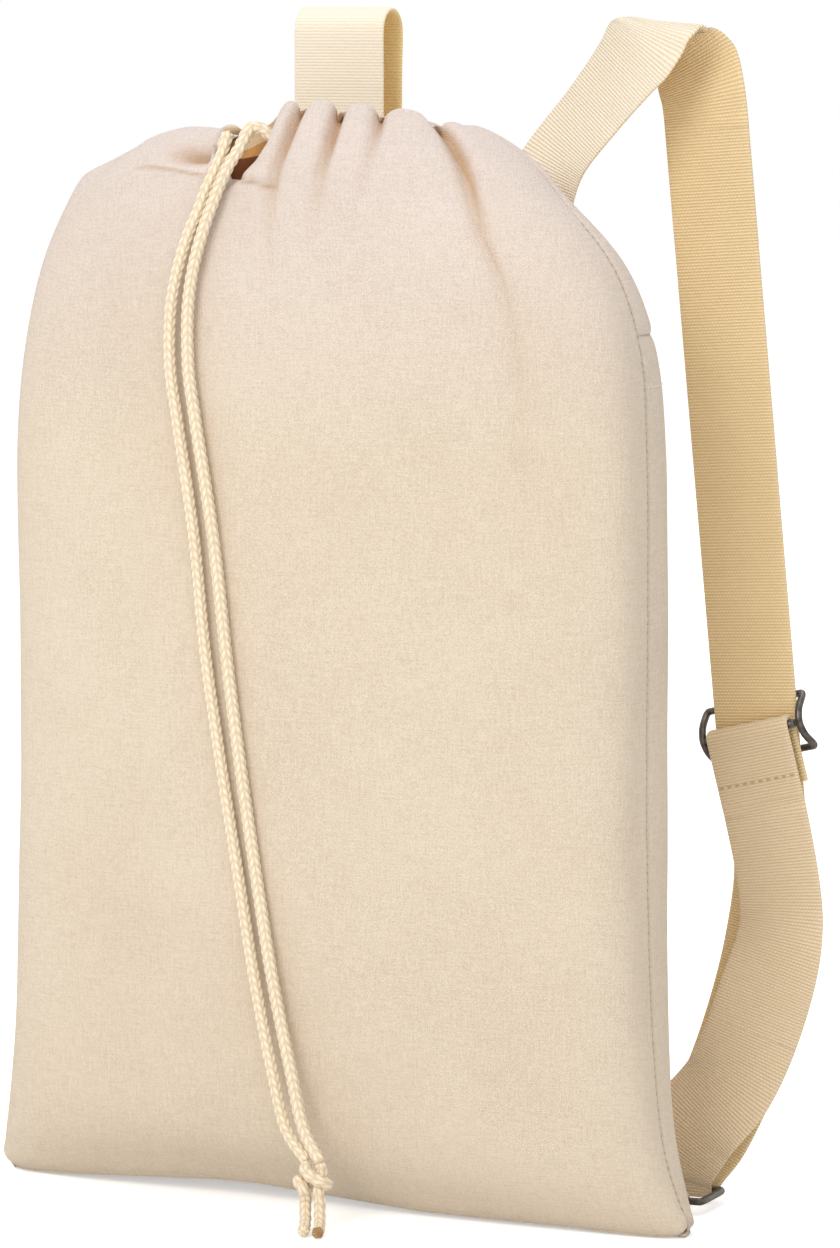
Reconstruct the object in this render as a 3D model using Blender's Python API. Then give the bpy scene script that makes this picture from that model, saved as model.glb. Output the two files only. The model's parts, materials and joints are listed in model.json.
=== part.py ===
"""Drawstring backpack in undyed canvas: a stuffed bag with a gathered mouth, two webbing shoulder straps,
a hang loop and a braided drawcord. Metres, +Z up, front towards -Y, origin at the centre of the flat base."""

import math

import bpy
import numpy as np
from mathutils import Vector
from mathutils.bvhtree import BVHTree

# Cloth, webbing, cord and clearances
CANVAS = 0.0018
WEBBING = 0.0020
WEBBING_WIDTH = 0.040
CORD = 0.005
GAP = 0.0003
SEAT = 0.0004
SEAM_GAP = 0.0006

# Stuffed body
BODY_WIDTH = 0.272
BODY_DEPTH = 0.084
BODY_HEIGHT = 0.415
EAR = 0.018
BASE_FRONT = -0.010
BASE_BACK = 0.036
YOKE_DROP = 0.058
SHOULDER = 0.105
SEAM_ALLOWANCE = 0.010

# Gathered mouth and its casing
MOUTH_X = -0.012
FOOT_WIDTH = 0.208
FOOT_DEPTH = 0.064
MOUTH_WIDTH = 0.136
MOUTH_DEPTH = 0.030
CASING_HEIGHT = 0.031
CASING_THICK = 0.0092
CASING_WALL = 0.0012
MOUTH_DROOP = 0.013
SLIT_LEFT = -0.047
SLIT_RIGHT = -0.015

# Hang loop
LOOP_X = -0.020
LOOP_HEIGHT = 0.484
LOOP_SPREAD = 0.018

# Strap hardware
WIRE = 0.003
SLIDER_LENGTH = 0.025
RING_INSET = 0.019
RING_INNER_Y = 0.041
RING_REACH = 0.024
RING_Z = 0.0052
HARDWARE_SIDE = 0.0025

# Drawcord knot
KNOT_AT = (0.0115, -0.0505, 0.0195)
KNOT_RADII = (0.0090, 0.0062, 0.0070)
TAIL_SPREAD = 0.0032
TAIL_REACH = 0.0135

# Mesh density
ACROSS = 22
AROUND_CASING = 26
AROUND_TUNNEL = 10

for old in list(bpy.data.objects):
    bpy.data.objects.remove(old, do_unlink=True)


def material(name, colour, roughness, metallic=0.0):
    made = bpy.data.materials.new(name)
    made.use_nodes = True
    shader = made.node_tree.nodes["Principled BSDF"]
    shader.inputs["Base Color"].default_value = (*colour, 1.0)
    shader.inputs["Roughness"].default_value = roughness
    shader.inputs["Metallic"].default_value = metallic
    return made


canvas_cloth = material("canvas", (0.86, 0.74, 0.56), 0.95)
webbing_cloth = material("webbing", (0.84, 0.70, 0.49), 0.92)
cord_cotton = material("cord", (0.88, 0.78, 0.61), 0.90)
gunmetal = material("gunmetal", (0.11, 0.10, 0.09), 0.38, 0.9)


def facing_out(vertices, faces):
    """The faces of a closed body, turned to point out of it."""
    v = np.asarray(vertices, float)
    volume = 0.0
    for f in faces:
        for k in range(1, len(f) - 1):
            volume += np.dot(v[f[0]], np.cross(v[f[k]], v[f[k + 1]]))
    return faces if volume > 0 else [f[::-1] for f in faces]


def place(name, vertices, faces, finish, origin=(0.0, 0.0, 0.0)):
    """One object with its own origin, from world points."""
    at = Vector(origin)
    mesh = bpy.data.meshes.new(name)
    mesh.from_pydata([Vector(v) - at for v in vertices], [], facing_out(vertices, faces))
    mesh.materials.append(finish)
    mesh.shade_smooth()
    mesh.set_sharp_from_angle(angle=math.radians(40))
    made = bpy.data.objects.new(name, mesh)
    made.location = at
    bpy.context.scene.collection.objects.link(made)
    return made


def through(points, count):
    """Points evenly spaced along a smooth curve through the given ones (Catmull-Rom)."""
    p = np.array(points, float)
    p = np.vstack([2 * p[0] - p[1], p, 2 * p[-1] - p[-2]])
    fine = []
    for k in range(1, len(p) - 2):
        for s in np.linspace(0, 1, 24, endpoint=False):
            a, b, c, d = p[k - 1], p[k], p[k + 1], p[k + 2]
            turn = (2 * a - 5 * b + 4 * c - d) * s**2 + (3 * b - a - 3 * c + d) * s**3
            fine.append(0.5 * (2 * b + (c - a) * s + turn))
    fine = np.array(fine + [p[-2]])
    run = np.r_[0, np.cumsum(np.linalg.norm(np.diff(fine[:, :3], axis=0), axis=1))]
    at = np.linspace(0, run[-1], count)
    return np.stack([np.interp(at, run, fine[:, k]) for k in range(p.shape[1])], 1)


def unit(v):
    v = np.asarray(v, float)
    return v / np.maximum(np.linalg.norm(v, axis=-1, keepdims=True), 1e-12)


def sheet(name, outer, inner, finish, wrap=False, hole=None, origin=(0.0, 0.0, 0.0)):
    """A closed wall between two grids of points. wrap closes the second way round, hole(i, j) leaves faces out."""
    rows, columns = outer.shape[:2]
    last = columns if wrap else columns - 1
    vertices = np.vstack([outer.reshape(-1, 3), inner.reshape(-1, 3)])
    step = rows * columns
    faces = []
    edges = {}
    for i in range(rows - 1):
        for j in range(last):
            if hole and hole(i, j):
                continue
            a = i * columns + j
            b = i * columns + (j + 1) % columns
            c = (i + 1) * columns + (j + 1) % columns
            d = (i + 1) * columns + j
            faces.append((a, b, c, d))
            faces.append((d + step, c + step, b + step, a + step))
            for e in ((a, b), (b, c), (c, d), (d, a)):
                edges[e] = True
    for a, b in edges:
        if (b, a) not in edges:
            faces.append((b, a, a + step, b + step))
    used = sorted({v for f in faces for v in f})
    number = {v: k for k, v in enumerate(used)}
    faces = [tuple(number[v] for v in f) for f in faces]
    return place(name, vertices[used], faces, finish, origin)


def grid_normals(g):
    along = np.gradient(g, axis=0)
    across = np.gradient(g, axis=1)
    return unit(np.cross(across, along))


def ribbon(name, middle, width_way, finish=webbing_cloth, origin=(0.0, 0.0, 0.0), width=WEBBING_WIDTH):
    """Flat webbing along a line of points, with its width along width_way at each."""
    middle = np.asarray(middle, float)
    along = unit(np.gradient(middle, axis=0))
    way = np.broadcast_to(np.asarray(width_way, float), middle.shape)
    way = unit(way - (way * along).sum(1, keepdims=True) * along)
    face = np.cross(way, along)
    edges = []
    for side, level in ((-1, 1), (1, 1), (1, -1), (-1, -1)):
        edges.append(middle + way * side * width / 2 + face * level * WEBBING / 2)
    ring = np.stack(edges, 1)
    count = len(middle)
    faces = []
    for i in range(count - 1):
        for j in range(4):
            a, b = i * 4 + j, i * 4 + (j + 1) % 4
            faces.append((a, b, b + 4, a + 4))
    faces.append((3, 2, 1, 0))
    faces.append(tuple(4 * (count - 1) + j for j in range(4)))
    return place(name, ring.reshape(-1, 3), faces, finish, origin)


def tube(name, points, diameter, finish, closed=False, sides=2, origin=(0.0, 0.0, 0.0)):
    """A round bar or cord along points, with filled ends."""
    curve = bpy.data.curves.new(name, "CURVE")
    curve.dimensions = "3D"
    curve.bevel_depth = diameter / 2
    curve.bevel_resolution = sides
    curve.use_fill_caps = True
    line = curve.splines.new("POLY")
    line.points.add(len(points) - 1)
    for k, p in enumerate(points):
        line.points[k].co = (*(np.asarray(p) - np.asarray(origin)), 1.0)
    line.use_cyclic_u = closed
    line.use_smooth = True
    curve.materials.append(finish)
    made = bpy.data.objects.new(name, curve)
    made.location = origin
    bpy.context.scene.collection.objects.link(made)
    return made


# Body: each row of a panel runs from the left seam round to the right seam

HALF = BODY_WIDTH / 2
DEEP = BODY_DEPTH / 2
SHOULDER_FROM = BODY_HEIGHT - SHOULDER
YOKE_HEIGHT = BODY_HEIGHT - YOKE_DROP
RING_X = HALF - RING_INSET
FOOT_DROP = 0.0016

# Side seam: height, half width, place in Y, shift of the row's middle in X
SEAM = [
    (0.000, HALF + EAR, 0.0, 0.0),
    (0.012, HALF + 0.78 * EAR, -0.001, 0.0),
    (0.035, HALF + 0.42 * EAR, -0.003, 0.0),
    (0.075, HALF + 0.20 * EAR, -0.005, 0.0),
    (0.5 * SHOULDER_FROM, HALF + 0.05 * EAR, -0.006, 0.0),
    (SHOULDER_FROM, HALF, -0.006, 0.0),
    (BODY_HEIGHT - 0.6 * SHOULDER, HALF - 0.003, -0.004, -0.001),
    (BODY_HEIGHT - 0.3 * SHOULDER, HALF - 0.012, -0.002, 0.35 * MOUTH_X),
    (BODY_HEIGHT, FOOT_WIDTH / 2, 0.0, MOUTH_X),
]


def seam_at(z):
    table = through(SEAM, 400)
    return np.stack([np.interp(z, table[:, 0], table[:, k]) for k in (1, 2, 3)], -1)


def panel_rows(rows, count):
    """Rows of (height of the row's ends, middle Y, middle height, squareness), made denser."""
    ends, middle_y, middle_z, power = np.array(rows).T
    dense = through(np.stack([middle_y, middle_z, 0 * ends, ends, power], 1), count)
    return dense[:, [3, 0, 1, 4]]


def panel(rows, side, count):
    """The outer grid of a panel: side is -1 in front and 1 behind."""
    made = []
    for end_z, middle_y, middle_z, power in panel_rows(rows, count):
        half, seam_y, shift = seam_at(end_z)
        turn = np.linspace(0, math.pi, ACROSS + 1)
        turn = turn - 0.18 * np.sin(2 * turn)
        c, s = np.cos(turn), np.sin(turn)
        x = shift - half * np.sign(c) * np.abs(c) ** (2 / power)
        fill = np.abs(s) ** (2 / power)
        fill[[0, -1]] = 0.0
        y = seam_y + side * SEAM_GAP / 2 + (middle_y - seam_y) * fill
        z = np.maximum(0.0, end_z + (middle_z - end_z) * fill)
        made.append(np.stack([x, y, z], 1))
    return np.array(made)


def walled(grid, side):
    """The inner grid of a panel, one canvas thickness inside the outer one."""
    out = grid_normals(grid) * (-side)
    inner = grid - out * CANVAS
    lean = np.array([CANVAS, 0.0, 0.2 * CANVAS])
    inner[:, 0] = grid[:, 0] + lean
    inner[:, -1] = grid[:, -1] + lean * (-1, 1, 1)
    return inner


TOP = BODY_HEIGHT - FOOT_DROP
FRONT_ROWS = [
    (CANVAS + 0.0022, BASE_FRONT, CANVAS + SEAT, 2.6),
    (0.022, -0.66 * DEEP, 0.024, 3.0),
    (0.050, -0.86 * DEEP, 0.056, 3.4),
    (0.110, -0.98 * DEEP, 0.112, 3.8),
    (0.5 * SHOULDER_FROM + 0.05, -DEEP, 0.5 * SHOULDER_FROM + 0.05, 4.0),
    (SHOULDER_FROM, -DEEP, SHOULDER_FROM, 3.8),
    (BODY_HEIGHT - 0.5 * SHOULDER, -0.96 * DEEP, BODY_HEIGHT - 0.5 * SHOULDER, 3.2),
    (BODY_HEIGHT - 0.2 * SHOULDER, -0.86 * DEEP, BODY_HEIGHT - 0.2 * SHOULDER, 2.7),
    (TOP, -FOOT_DEPTH / 2, TOP, 2.4),
]
front = panel(FRONT_ROWS, -1, 22)
sheet("front_panel", front, walled(front, -1), canvas_cloth)

BASE_ROWS = [
    (0.0016, BASE_FRONT, -0.0006, 2.6),
    (0.0060, 0.4 * BASE_BACK, -0.004, 2.8),
    (0.0110, BASE_BACK, -0.004, 3.0),
]
BACK_ROWS = [
    BASE_ROWS[-1],
    (0.0230, 0.97 * DEEP, 0.012, 3.2),
    (0.0500, 0.995 * DEEP, 0.042, 3.4),
    (0.1100, DEEP, 0.108, 3.8),
    (0.5 * SHOULDER_FROM + 0.05, DEEP, 0.5 * SHOULDER_FROM + 0.05, 4.0),
    (SHOULDER_FROM, DEEP, SHOULDER_FROM, 3.8),
    (YOKE_HEIGHT - GAP, 0.97 * DEEP, YOKE_HEIGHT - GAP, 3.3),
]
back = np.concatenate([panel(BASE_ROWS, 1, 5)[:-1], panel(BACK_ROWS, 1, 22)])
sheet("back_panel", back, walled(back, 1), canvas_cloth)

YOKE_ROWS = [
    (YOKE_HEIGHT, 0.97 * DEEP, YOKE_HEIGHT, 3.3),
    (BODY_HEIGHT - 0.3 * SHOULDER, 0.91 * DEEP, BODY_HEIGHT - 0.3 * SHOULDER, 2.9),
    (TOP, FOOT_DEPTH / 2, TOP, 2.4),
]
yoke = panel(YOKE_ROWS, 1, 6)
sheet("back_yoke", yoke, walled(yoke, 1), canvas_cloth)


# Seam allowances inside the bag

def seam_strip(name, points, inward, thick_way):
    """A folded seam allowance: a flat bar along points, reaching inward from the wall."""
    p = np.asarray(points, float)
    inward, thick_way = unit(inward), unit(thick_way)
    near = CANVAS + SEAT + GAP
    ring = []
    for reach, side in ((near, -1), (near + SEAM_ALLOWANCE, -1), (near + SEAM_ALLOWANCE, 1), (near, 1)):
        ring.append(p + inward * reach + thick_way * side * CANVAS)
    ring = np.stack(ring, 1)
    count = len(p)
    faces = []
    for i in range(count - 1):
        for j in range(4):
            a, b = i * 4 + j, i * 4 + (j + 1) % 4
            faces.append((a, b, b + 4, a + 4))
    faces.append((3, 2, 1, 0))
    faces.append(tuple(4 * (count - 1) + j for j in range(4)))
    return place(name, ring.reshape(-1, 3), faces, canvas_cloth)


SEAM_FROM = 0.045
for word, side in (("left", -1), ("right", 1)):
    heights = np.linspace(SEAM_FROM, BODY_HEIGHT - 0.45 * SHOULDER, 14)
    at = seam_at(heights)
    line = np.stack([at[:, 2] + side * at[:, 0], at[:, 1], heights], 1)
    seam_strip(f"side_seam_{word}", line, (-side, 0, 0), (0, 1, 0))

BOTTOM_SEAM_SHORT = 0.045
BOTTOM_SEAM_IN = 0.012


def bottom_seam():
    """The bottom seam's allowance, folded flat on the inside of the base."""
    low, high = CANVAS + SEAT, CANVAS + SEAT + 2 * CANVAS
    near, far = BASE_FRONT + BOTTOM_SEAM_IN, BASE_FRONT + BOTTOM_SEAM_IN + SEAM_ALLOWANCE
    x = HALF - BOTTOM_SEAM_SHORT
    corners = [(sx * x, y, z) for sx in (-1, 1) for y, z in ((near, low), (far, low), (far, high), (near, high))]
    faces = [(0, 1, 2, 3), (7, 6, 5, 4)] + [(j, j + 4, (j + 1) % 4 + 4, (j + 1) % 4) for j in range(4)]
    place("bottom_seam", corners, faces, canvas_cloth)


bottom_seam()


# Casing: a hollow tunnel round the mouth, open in front where the cord comes out

def mouth_ring(turn):
    """Foot, top and outward way of the casing at angles round the mouth, from the right side over the front."""
    c, s = np.cos(turn), np.sin(turn)
    power = 2.4
    cx, sy = np.sign(c) * np.abs(c) ** (2 / power), np.sign(s) * np.abs(s) ** (2 / power)
    foot = np.stack([MOUTH_X + FOOT_WIDTH / 2 * cx, -FOOT_DEPTH / 2 * sy, np.full_like(c, BODY_HEIGHT)], 1)
    top_z = BODY_HEIGHT + CASING_HEIGHT - MOUTH_DROOP * cx**2
    top = np.stack([MOUTH_X + MOUTH_WIDTH / 2 * cx, -MOUTH_DEPTH / 2 * sy, top_z], 1)
    around = np.gradient((foot + top) / 2, axis=0)
    outward = unit(np.cross(top - foot, around))
    return foot, top, outward


def tunnel(turn):
    foot, top, outward = mouth_ring(turn)
    middle = (foot + top) / 2 - outward * CANVAS / 2
    reach = (top - foot) / 2
    round_angles = np.linspace(0, 2 * math.pi, AROUND_TUNNEL, endpoint=False)
    outer, inner = [], []
    long = np.linalg.norm(reach, axis=1, keepdims=True)
    for angle in round_angles:
        c, s = math.cos(angle), math.sin(angle)
        outer.append(middle + reach * (1 - GAP / long) * c + outward * s * CASING_THICK / 2)
        shrink = (long - GAP - CASING_WALL) / long
        inner.append(middle + reach * shrink * c + outward * s * (CASING_THICK / 2 - CASING_WALL))
    return np.stack(outer, 1), np.stack(inner, 1), middle


END_STEP = 0.008
front_turn = np.linspace(END_STEP, math.pi - END_STEP, AROUND_CASING + 1)
back_turn = np.linspace(math.pi + END_STEP, 2 * math.pi - END_STEP, AROUND_CASING + 1)
outer, inner, front_middle = tunnel(front_turn)
in_slit = [k for k in range(AROUND_CASING) if SLIT_LEFT < front_middle[k:k + 2, 0].mean() < SLIT_RIGHT]
SLIT_SIDES = (1, 2, 3)


def slit(i, j):
    return i in in_slit and j in SLIT_SIDES


sheet("casing_front", outer, inner, canvas_cloth, wrap=True, hole=slit)
outer, inner, back_middle = tunnel(back_turn)
sheet("casing_back", outer, inner, canvas_cloth, wrap=True)

loop_line = [front_middle[k] for k in range(in_slit[-1] + 1, AROUND_CASING + 1)]
loop_line = loop_line + list(back_middle) + [front_middle[k] for k in range(in_slit[0] + 1)]
tube("drawcord_loop", loop_line, CORD, cord_cotton)


# Drawcord: two free runs down the front to one overhand knot

LEFT_ROUTE = [
    (-0.0395, -0.0300, 0.4300),
    (-0.0375, -0.0385, 0.4235),
    (-0.0415, -0.0425, 0.4120),
    (-0.0475, -0.0445, 0.3940),
    (-0.0525, -0.0458, 0.3700),
    (-0.0530, -0.0462, 0.3400),
    (-0.0460, -0.0462, 0.2950),
    (-0.0380, -0.0462, 0.2300),
    (-0.0266, -0.0462, 0.1600),
    (-0.0158, -0.0462, 0.0950),
    (-0.0055, -0.0472, 0.0500),
]
RIGHT_ROUTE = [
    (-0.0250, -0.0300, 0.4300),
    (-0.0280, -0.0385, 0.4235),
    (-0.0330, -0.0425, 0.4120),
    (-0.0400, -0.0445, 0.3940),
    (-0.0450, -0.0458, 0.3700),
    (-0.0450, -0.0462, 0.3400),
    (-0.0376, -0.0462, 0.2950),
    (-0.0288, -0.0462, 0.2300),
    (-0.0186, -0.0462, 0.1600),
    (-0.0076, -0.0462, 0.0950),
    (0.0025, -0.0472, 0.0500),
]
knot = np.array(KNOT_AT)
knot_top = knot + (0, 0, KNOT_RADII[2] + GAP)
RUN_POINTS = 34


def leaving(line):
    """Two points that carry on straight from the first end of a line."""
    ahead = unit(line[0] - line[1])
    return [line[0] + ahead * GAP, line[0] + ahead * CORD]


left_start = leaving(np.array(loop_line))
right_start = leaving(np.array(loop_line)[::-1])
left_end = knot_top + (-0.0030, 0.0008, 0.0010)
right_end = knot_top + (0.0030, 0.0008, 0.0010)
left_run = [left_start[0], *through([left_start[1], *LEFT_ROUTE, left_end], RUN_POINTS)]
tube("drawcord_left_run", left_run, CORD, cord_cotton)
right_run = [right_start[0], *through([right_start[1], *RIGHT_ROUTE, right_end], RUN_POINTS)]
tube("drawcord_right_run", right_run, CORD, cord_cotton)


def ball(name, centre, radii, finish):
    """A closed knot body, a ball stretched three ways."""
    around, levels = 12, 8
    vertices = [(0, 0, 1)]
    for level in range(1, levels):
        tilt = math.pi * level / levels
        for k in range(around):
            turn = 2 * math.pi * k / around
            vertices.append((math.sin(tilt) * math.cos(turn), math.sin(tilt) * math.sin(turn), math.cos(tilt)))
    vertices.append((0, 0, -1))
    faces = [(0, 1 + k, 1 + (k + 1) % around) for k in range(around)]
    for level in range(levels - 2):
        a = 1 + level * around
        for k in range(around):
            n = (k + 1) % around
            faces.append((a + k, a + around + k, a + around + n, a + n))
    end = len(vertices) - 1
    a = end - around
    faces += [(end, a + (k + 1) % around, a + k) for k in range(around)]
    world = np.array(vertices) * radii + np.array(centre)
    return place(name, world, faces, finish, centre)


ball("drawcord_knot", KNOT_AT, KNOT_RADII, cord_cotton)
tail_low = CORD / 2 + GAP
tail_top = knot[2] - KNOT_RADII[2] - GAP
for word, side in (("left", -1), ("right", 1)):
    x = knot[0] + side * TAIL_SPREAD
    tail = [
        (x, knot[1], tail_top),
        (x, knot[1] - 0.02 * TAIL_REACH, tail_top - 0.3 * (tail_top - tail_low)),
        (x + 0.10 * TAIL_REACH, knot[1] - 0.22 * TAIL_REACH, tail_low + 0.2 * (tail_top - tail_low)),
        (x + 0.25 * TAIL_REACH, knot[1] - 0.59 * TAIL_REACH, tail_low),
        (x + 0.40 * TAIL_REACH, knot[1] - TAIL_REACH, tail_low),
    ]
    tube(f"drawcord_{word}_tail", through(tail, 9), CORD, cord_cotton, origin=KNOT_AT)


# Webbing sewn on the yoke

def surface_tree(grid):
    rows, columns = grid.shape[:2]
    points = [Vector(p) for p in grid.reshape(-1, 3)]
    faces = []
    for i in range(rows - 1):
        for j in range(columns - 1):
            a = i * columns + j
            faces.append((a, a + 1, a + columns + 1, a + columns))
    return BVHTree.FromPolygons(points, faces)


yoke_tree = surface_tree(yoke)
back_tree = surface_tree(back)


def behind(tree, x, z, spread=0.0):
    """How far back the cloth stands at this place, or the furthest within a small spread of it."""
    found = []
    for dx in (-spread, 0.0, spread):
        for dz in (-spread, 0.0, spread):
            hit = tree.ray_cast(Vector((x + dx, 1.0, z + dz)), Vector((0, -1, 0)))
            if hit[0]:
                found.append(hit[0].y)
    return max(found)


BASE_INSET = 0.002
BASE_LENGTH = 0.024
BASE_LOW = YOKE_HEIGHT + BASE_INSET
BASE_HIGH = BASE_LOW + BASE_LENGTH
BASE_COLUMNS = 6
BASE_SPREAD = 0.0015


def sewn_base(name, centre_x):
    """The sewn-down end of a webbing, lying on the yoke."""
    xs = np.linspace(centre_x - WEBBING_WIDTH / 2, centre_x + WEBBING_WIDTH / 2, BASE_COLUMNS)
    zs = np.linspace(BASE_LOW, BASE_HIGH, 3)
    near = np.array([[(x, behind(yoke_tree, x, z, BASE_SPREAD) + SEAT, z) for x in xs] for z in zs])
    far = near + (0, WEBBING, 0)
    sheet(name, far, near, webbing_cloth)
    return max(behind(yoke_tree, x, BASE_HIGH, BASE_SPREAD) for x in xs) + SEAT + WEBBING / 2


# Hang loop: a standing ring of webbing behind the mouth
loop_y = sewn_base("hang_loop_base", LOOP_X)
loop_from = BASE_HIGH + GAP
LOOP_TURN = LOOP_SPREAD / 2
loop_top = LOOP_HEIGHT - LOOP_TURN - WEBBING / 2
loop_path = [(loop_y, loop_from), (loop_y, 0.5 * (loop_from + loop_top))]
for k in range(9):
    angle = math.pi * k / 8
    loop_path.append((loop_y + LOOP_TURN - LOOP_TURN * math.cos(angle), loop_top + LOOP_TURN * math.sin(angle)))
loop_path.append((loop_y + LOOP_SPREAD * 0.9, 0.5 * (loop_from + loop_top)))
loop_path.append((loop_y + WEBBING + SEAT, loop_from + 0.012))
loop_path.append((loop_y + WEBBING + SEAT, loop_from))
hang_axis = (LOOP_X, loop_y, loop_from)
ribbon("hang_loop", [(LOOP_X, y, z) for y, z in loop_path], (1, 0, 0), origin=hang_axis)


# Shoulder straps

def bars(name, corners, finish, origin):
    """A closed wire frame through corners."""
    return tube(name, corners, WIRE, finish, closed=True, sides=1, origin=origin)


RING_HALF = WEBBING_WIDTH / 2 + HARDWARE_SIDE
TURN = WIRE / 2 + GAP + WEBBING / 2
CENTRE_BAR = WEBBING / 2 + SEAT + WEBBING + WIRE / 2 + GAP
OUTER_BAR = -(WEBBING / 2 + SEAT + WIRE / 2)
FOLD_LENGTH = 0.028
STRAP_POINTS = 20
TOP_POINTS = 28
WRAP_STEPS = 6
WRAP_FROM = -48
LEAD = 0.006

# Points of each strap: up from its base to the straight run, then the slack of the lower loop, outer and inner
STRAPS = {
    "right": {
        "side": 1,
        "base_x": 0.060,
        "tilt": 10,
        "top": [
            (0.0620, 0.0455, 0.4010), (0.0700, 0.0515, 0.4220), (0.0860, 0.0565, 0.4440), (0.0990, 0.0592, 0.4610),
            (0.1055, 0.0605, 0.4710), (0.1090, 0.0640, 0.4772), (0.1120, 0.0695, 0.4790), (0.1150, 0.0750, 0.4765),
            (0.1203, 0.0772, 0.4690), (0.1247, 0.0758, 0.4540),
        ],
        "top_way": [
            (0.95, -0.20, -0.15), (0.82, -0.48, -0.28), (0.79, -0.50, -0.32), (0.86, -0.38, -0.32),
            (0.93, -0.25, -0.26), (0.96, -0.22, -0.15), (0.97, -0.24, 0.0), (0.97, -0.20, 0.12),
            (0.965, -0.17, 0.18), (0.985, -0.195, 0.10),
        ],
        "run": [(0.1265, 0.0760, 0.4350), (0.1480, 0.0850, 0.1780)],
        "outer": [
            (0.1515, 0.0905, 0.1350), (0.1495, 0.0945, 0.1000), (0.1400, 0.0930, 0.0560), (0.1255, 0.0830, 0.0210),
            (0.1185, 0.0730, 0.0090),
        ],
        "inner": [
            (0.1175, 0.0613, 0.0120), (0.1285, 0.0630, 0.0290), (0.1455, 0.0680, 0.0500), (0.1560, 0.0745, 0.0830),
            (0.1600, 0.0775, 0.1150),
        ],
    },
    "left": {
        "side": -1,
        "base_x": -0.084,
        "tilt": 0,
        "top": [
            (-0.0845, 0.0500, 0.4000), (-0.0860, 0.0570, 0.4085), (-0.0875, 0.0660, 0.4070), (-0.0890, 0.0715, 0.3960),
        ],
        "top_way": [(1, 0, 0), (1, 0, 0), (1, 0, 0), (1, 0, 0)],
        "run": [(-0.0900, 0.0740, 0.3800), (-0.1130, 0.0890, 0.1500)],
        "outer": [
            (-0.1155, 0.0955, 0.1150), (-0.1175, 0.0985, 0.0800), (-0.1185, 0.0940, 0.0420), (-0.1175, 0.0815, 0.0150),
        ],
        "inner": [(-0.1175, 0.0640, 0.0300), (-0.1180, 0.0755, 0.0600), (-0.1175, 0.0800, 0.0900)],
    },
}


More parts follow.
